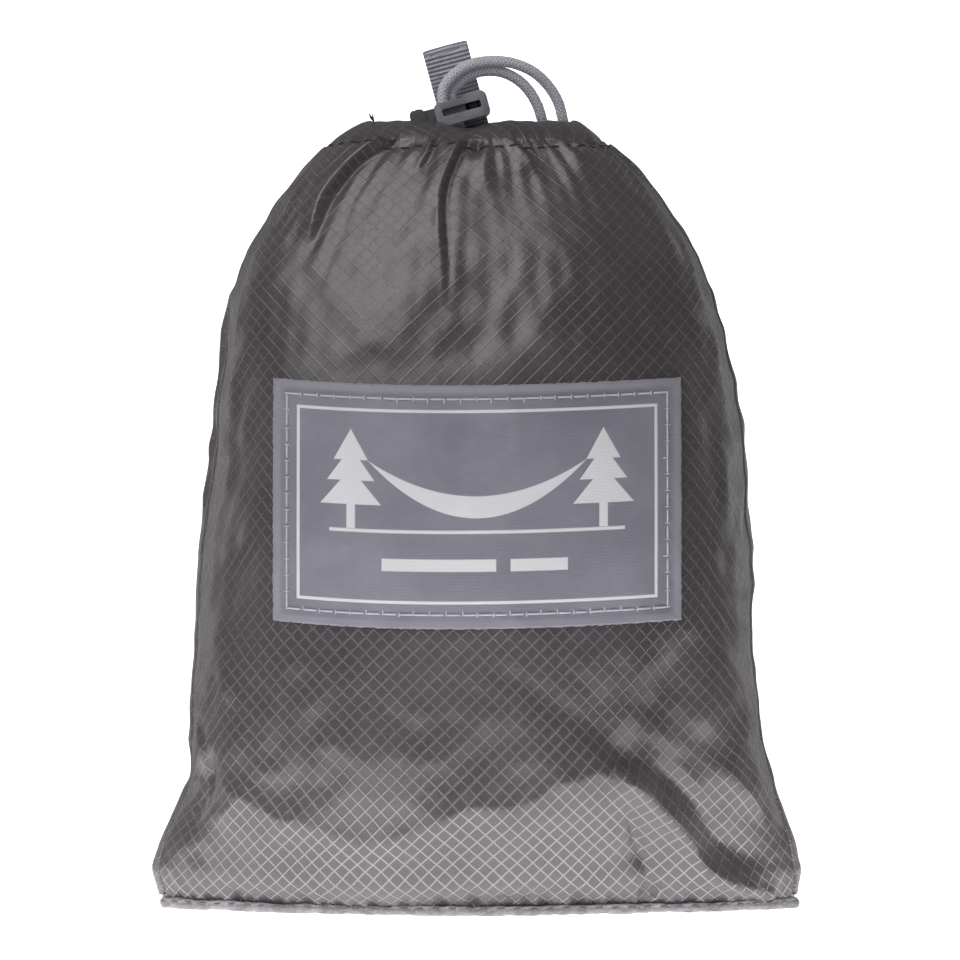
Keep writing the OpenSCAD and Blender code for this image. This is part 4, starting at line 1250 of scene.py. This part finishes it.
def make_lock():
    body_mat = plastic_material("lock_plastic", srgb(118, 117, 123), srgb(142, 141, 147), 0.30)
    press_mat = plastic_material("plunger_plastic", srgb(78, 77, 82), srgb(98, 97, 102), 0.28)
    refined("cord_lock_body", "cord_lock_shell", body_mat, "lock_plastic", SACK, 0.22)
    refined("cord_lock_plunger", "cord_lock_press", press_mat, "plunger_plastic", "lock_plunger", 0.16)
    turns, first, last = 3.6, 3.72, 6.82
    t = np.linspace(0, 1, 190)
    closed = smooth(0.0, 0.14, t) * 0.5 + smooth(0.86, 1.0, t) * 0.5
    u = first + 0.2 + (last - first - 0.4) * (0.85 * t + 0.15 * closed)
    path = in_lock(u, 1.2 * np.cos(2 * np.pi * turns * t), 1.2 * np.sin(2 * np.pi * turns * t))
    verts, faces, _, _ = tube(path, 0.2, 10)
    obj = new_object("cord_lock_coil", verts, faces)
    steel = metal_material("spring_steel", srgb(150, 150, 154), srgb(186, 186, 190), 0.22)
    finish_piece(obj, steel, "spring_steel", SACK, "cord_lock_spring")
    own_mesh(obj)


# ---------------------------------------------------------------- contents
def make_bundle():
    """The hammock's cloth, folded in layers and rolled to fill the sack."""
    cols, rows = 260, 130
    share = np.arange(cols) / cols
    nylon = ripstop_material("hammock_nylon", srgb(86, 88, 96), srgb(112, 114, 122), srgb(148, 150, 156), 2.2 * MM)
    lo, hi = 1.5, 92.0
    s = np.linspace(0, 1, rows)
    round_off = np.sin(np.pi / 2 * np.clip(np.minimum(s, 1 - s) / 0.10, 0, 1))
    points = []
    for k, z in enumerate(lo + (hi - lo) * s):
        a, b, n = profile(z)
        x, y, _ = even_oval(float(a) - 3.3, float(b) - 3.3, float(n), share)
        drift = 0.22 * np.sin(2 * np.pi * share + 1.0)
        layer = np.abs(np.sin(np.pi * (z / 7.4 + drift + 0.1 * np.sin(6 * np.pi * share))))
        crease = ripple(share * 300, z, 71, 8, 12, 34)
        inward = 1.9 * (1 - layer**0.5) + 0.5 * (1 + 0.6 * crease) + 7.0 * (1 - round_off[k]) ** 2
        scale_x, scale_y = 1 - inward / (float(a) - 3.3), 1 - inward / (float(b) - 3.3)
        points.append(np.stack([x * scale_x, y * scale_y, z + 0 * x], -1))
    caps_low = [points[0] * (k, k, 1) + (0, 0, 0.05) for k in (0.08, 0.35, 0.7)]
    fold = 1.3 * np.sin(share * 2 * np.pi * 3)
    caps_high = [points[-1] * (k, k, 1) + np.stack([0 * share, 0 * share, -(1 - k) * (1.5 + fold)], -1)
                 for k in (0.85, 0.6, 0.32, 0.08)]
    grid = np.array(caps_low + points + caps_high)
    faces = grid_faces(len(grid), cols, True)
    faces.append(list(range(cols - 1, -1, -1)))
    faces.append([(len(grid) - 1) * cols + k for k in range(cols)])
    obj = new_object("hammock_bundle_cloth", grid, faces)
    step = np.linalg.norm(np.diff(grid, axis=0), axis=2)
    tall = np.concatenate([np.zeros((1, cols)), np.cumsum(step, axis=0)])
    set_grid_uv(obj, np.broadcast_to(share * 300.0, tall.shape), tall, True)
    finish_piece(obj, nylon, "hammock_nylon", SACK, "hammock_body")
    return nylon


SETS = {"a": (14.0, 1.0, 101.2), "b": (-14.0, -1.0, 116.4)}


def make_end_fittings(nylon, white):
    """Each end: pleated gather, rope eye, its whipping, carabiner and wire gate."""
    rope = braid_material("suspension_rope", srgb(48, 49, 54), srgb(92, 94, 100), srgb(132, 134, 140))
    alloy = metal_material("carabiner_aluminium", srgb(88, 90, 96), srgb(116, 118, 124), 0.26)
    steel = metal_material("gate_steel", srgb(162, 162, 166), srgb(190, 190, 194), 0.2)
    for end, (shift, hand, z) in SETS.items():
        def place(x, y, dz=0.0):
            return np.array([shift + hand * x, y, z + dz])

        turn = np.linspace(math.radians(155), math.radians(-155), 40)
        eye = [place(-51.0, -1.55), place(-47.0, -1.55), place(-42.0, -1.7), place(-37.5, -2.6)]
        eye += [place(-28.5 - 4.9 * math.cos(t + math.pi), 4.9 * math.sin(t + math.pi)) for t in turn[2:-2]]
        eye += [place(-37.5, 2.6), place(-42.0, 1.7), place(-47.0, 1.55), place(-51.0, 1.55)]
        obj, _ = braided_cord("suspension_rope_%s_eye" % end, eye, ROPE_D, 2.2, 0.16, 24, 0.3)
        finish_piece(obj, rope, "suspension_rope", SACK, "suspension_rope_" + end)
        heap = Heap()
        low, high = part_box("rope_whipping_" + end)
        x0, x1 = low[0] / MM, high[0] / MM
        ry, rz = (high[1] - low[1]) / MM / 2 - 0.25, (high[2] - low[2]) / MM / 2 - 0.25
        t = np.linspace(0, 1, 420)
        turn = 2 * np.pi * 9 * t
        coil = np.stack([x0 + 0.3 + (x1 - x0 - 0.6) * t, ry * np.cos(turn), z + rz * np.sin(turn)], -1)
        verts, faces, _, _ = tube(coil, 0.27, 8)
        heap.add(verts, faces)
        finish_piece(heap.object("rope_whipping_%s_turns" % end), white, "white_thread", SACK, "rope_whipping_" + end)
        low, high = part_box("end_gather_" + end)
        x0, x1 = (low[0] / MM, high[0] / MM) if hand < 0 else (high[0] / MM, low[0] / MM)
        radius = (high[2] - low[2]) / MM / 2
        around, rows = 120, 46
        angle = np.linspace(0, 2 * np.pi, around, endpoint=False)
        grid = []
        for k in range(rows):
            s = k / (rows - 1)
            r = 2.9 + (radius - 2.9) * smooth(0, 1, s)
            pleat = np.abs(np.sin(6.5 * angle + 0.5 * np.sin(3 * angle) + 0.5 * s)) ** 0.6
            rr = r * (0.80 + 0.20 * pleat)
            close = math.sqrt(max(1 - max(0, (s - 0.9) / 0.1) ** 2, 0.02))
            reach = rr * close
            along = x0 + (x1 - x0) * s + 0 * angle
            grid.append(np.stack([along, reach * np.cos(angle), z + reach * np.sin(angle)], -1))
        grid = np.array(grid)
        faces = grid_faces(rows, around, True)
        faces.append(list(range(around - 1, -1, -1)))
        faces.append([(rows - 1) * around + k for k in range(around)])
        obj = new_object("end_gather_%s_pleats" % end, grid, faces)
        tall = np.broadcast_to(np.linspace(0, 17, rows)[:, None], (rows, around))
        set_grid_uv(obj, np.broadcast_to(angle * 14, (rows, around)), tall, True)
        finish_piece(obj, nylon, "hammock_nylon", SACK, "end_gather_" + end)
        refined("carabiner_frame_" + end, "carabiner_%s_frame" % end, alloy, "carabiner_aluminium", SACK, 0.15)
        refined("wire_gate_" + end, "carabiner_%s_gate" % end, steel, "gate_steel", "gate_" + end, 0.05)


sack_nylon = ripstop_material("ripstop_nylon", srgb(64, 57, 61), srgb(76, 69, 73), srgb(150, 145, 149))
finish_piece(cloth, sack_nylon, "ripstop_nylon", SACK, "sack_body", "mouth_casing")
make_side_seams()
white_thread = make_label()
grey_thread = make_hem()
make_casing_stitches()
make_webbing(grey_thread)
make_lock()
hammock_nylon = make_bundle()
make_end_fittings(hammock_nylon, white_thread)
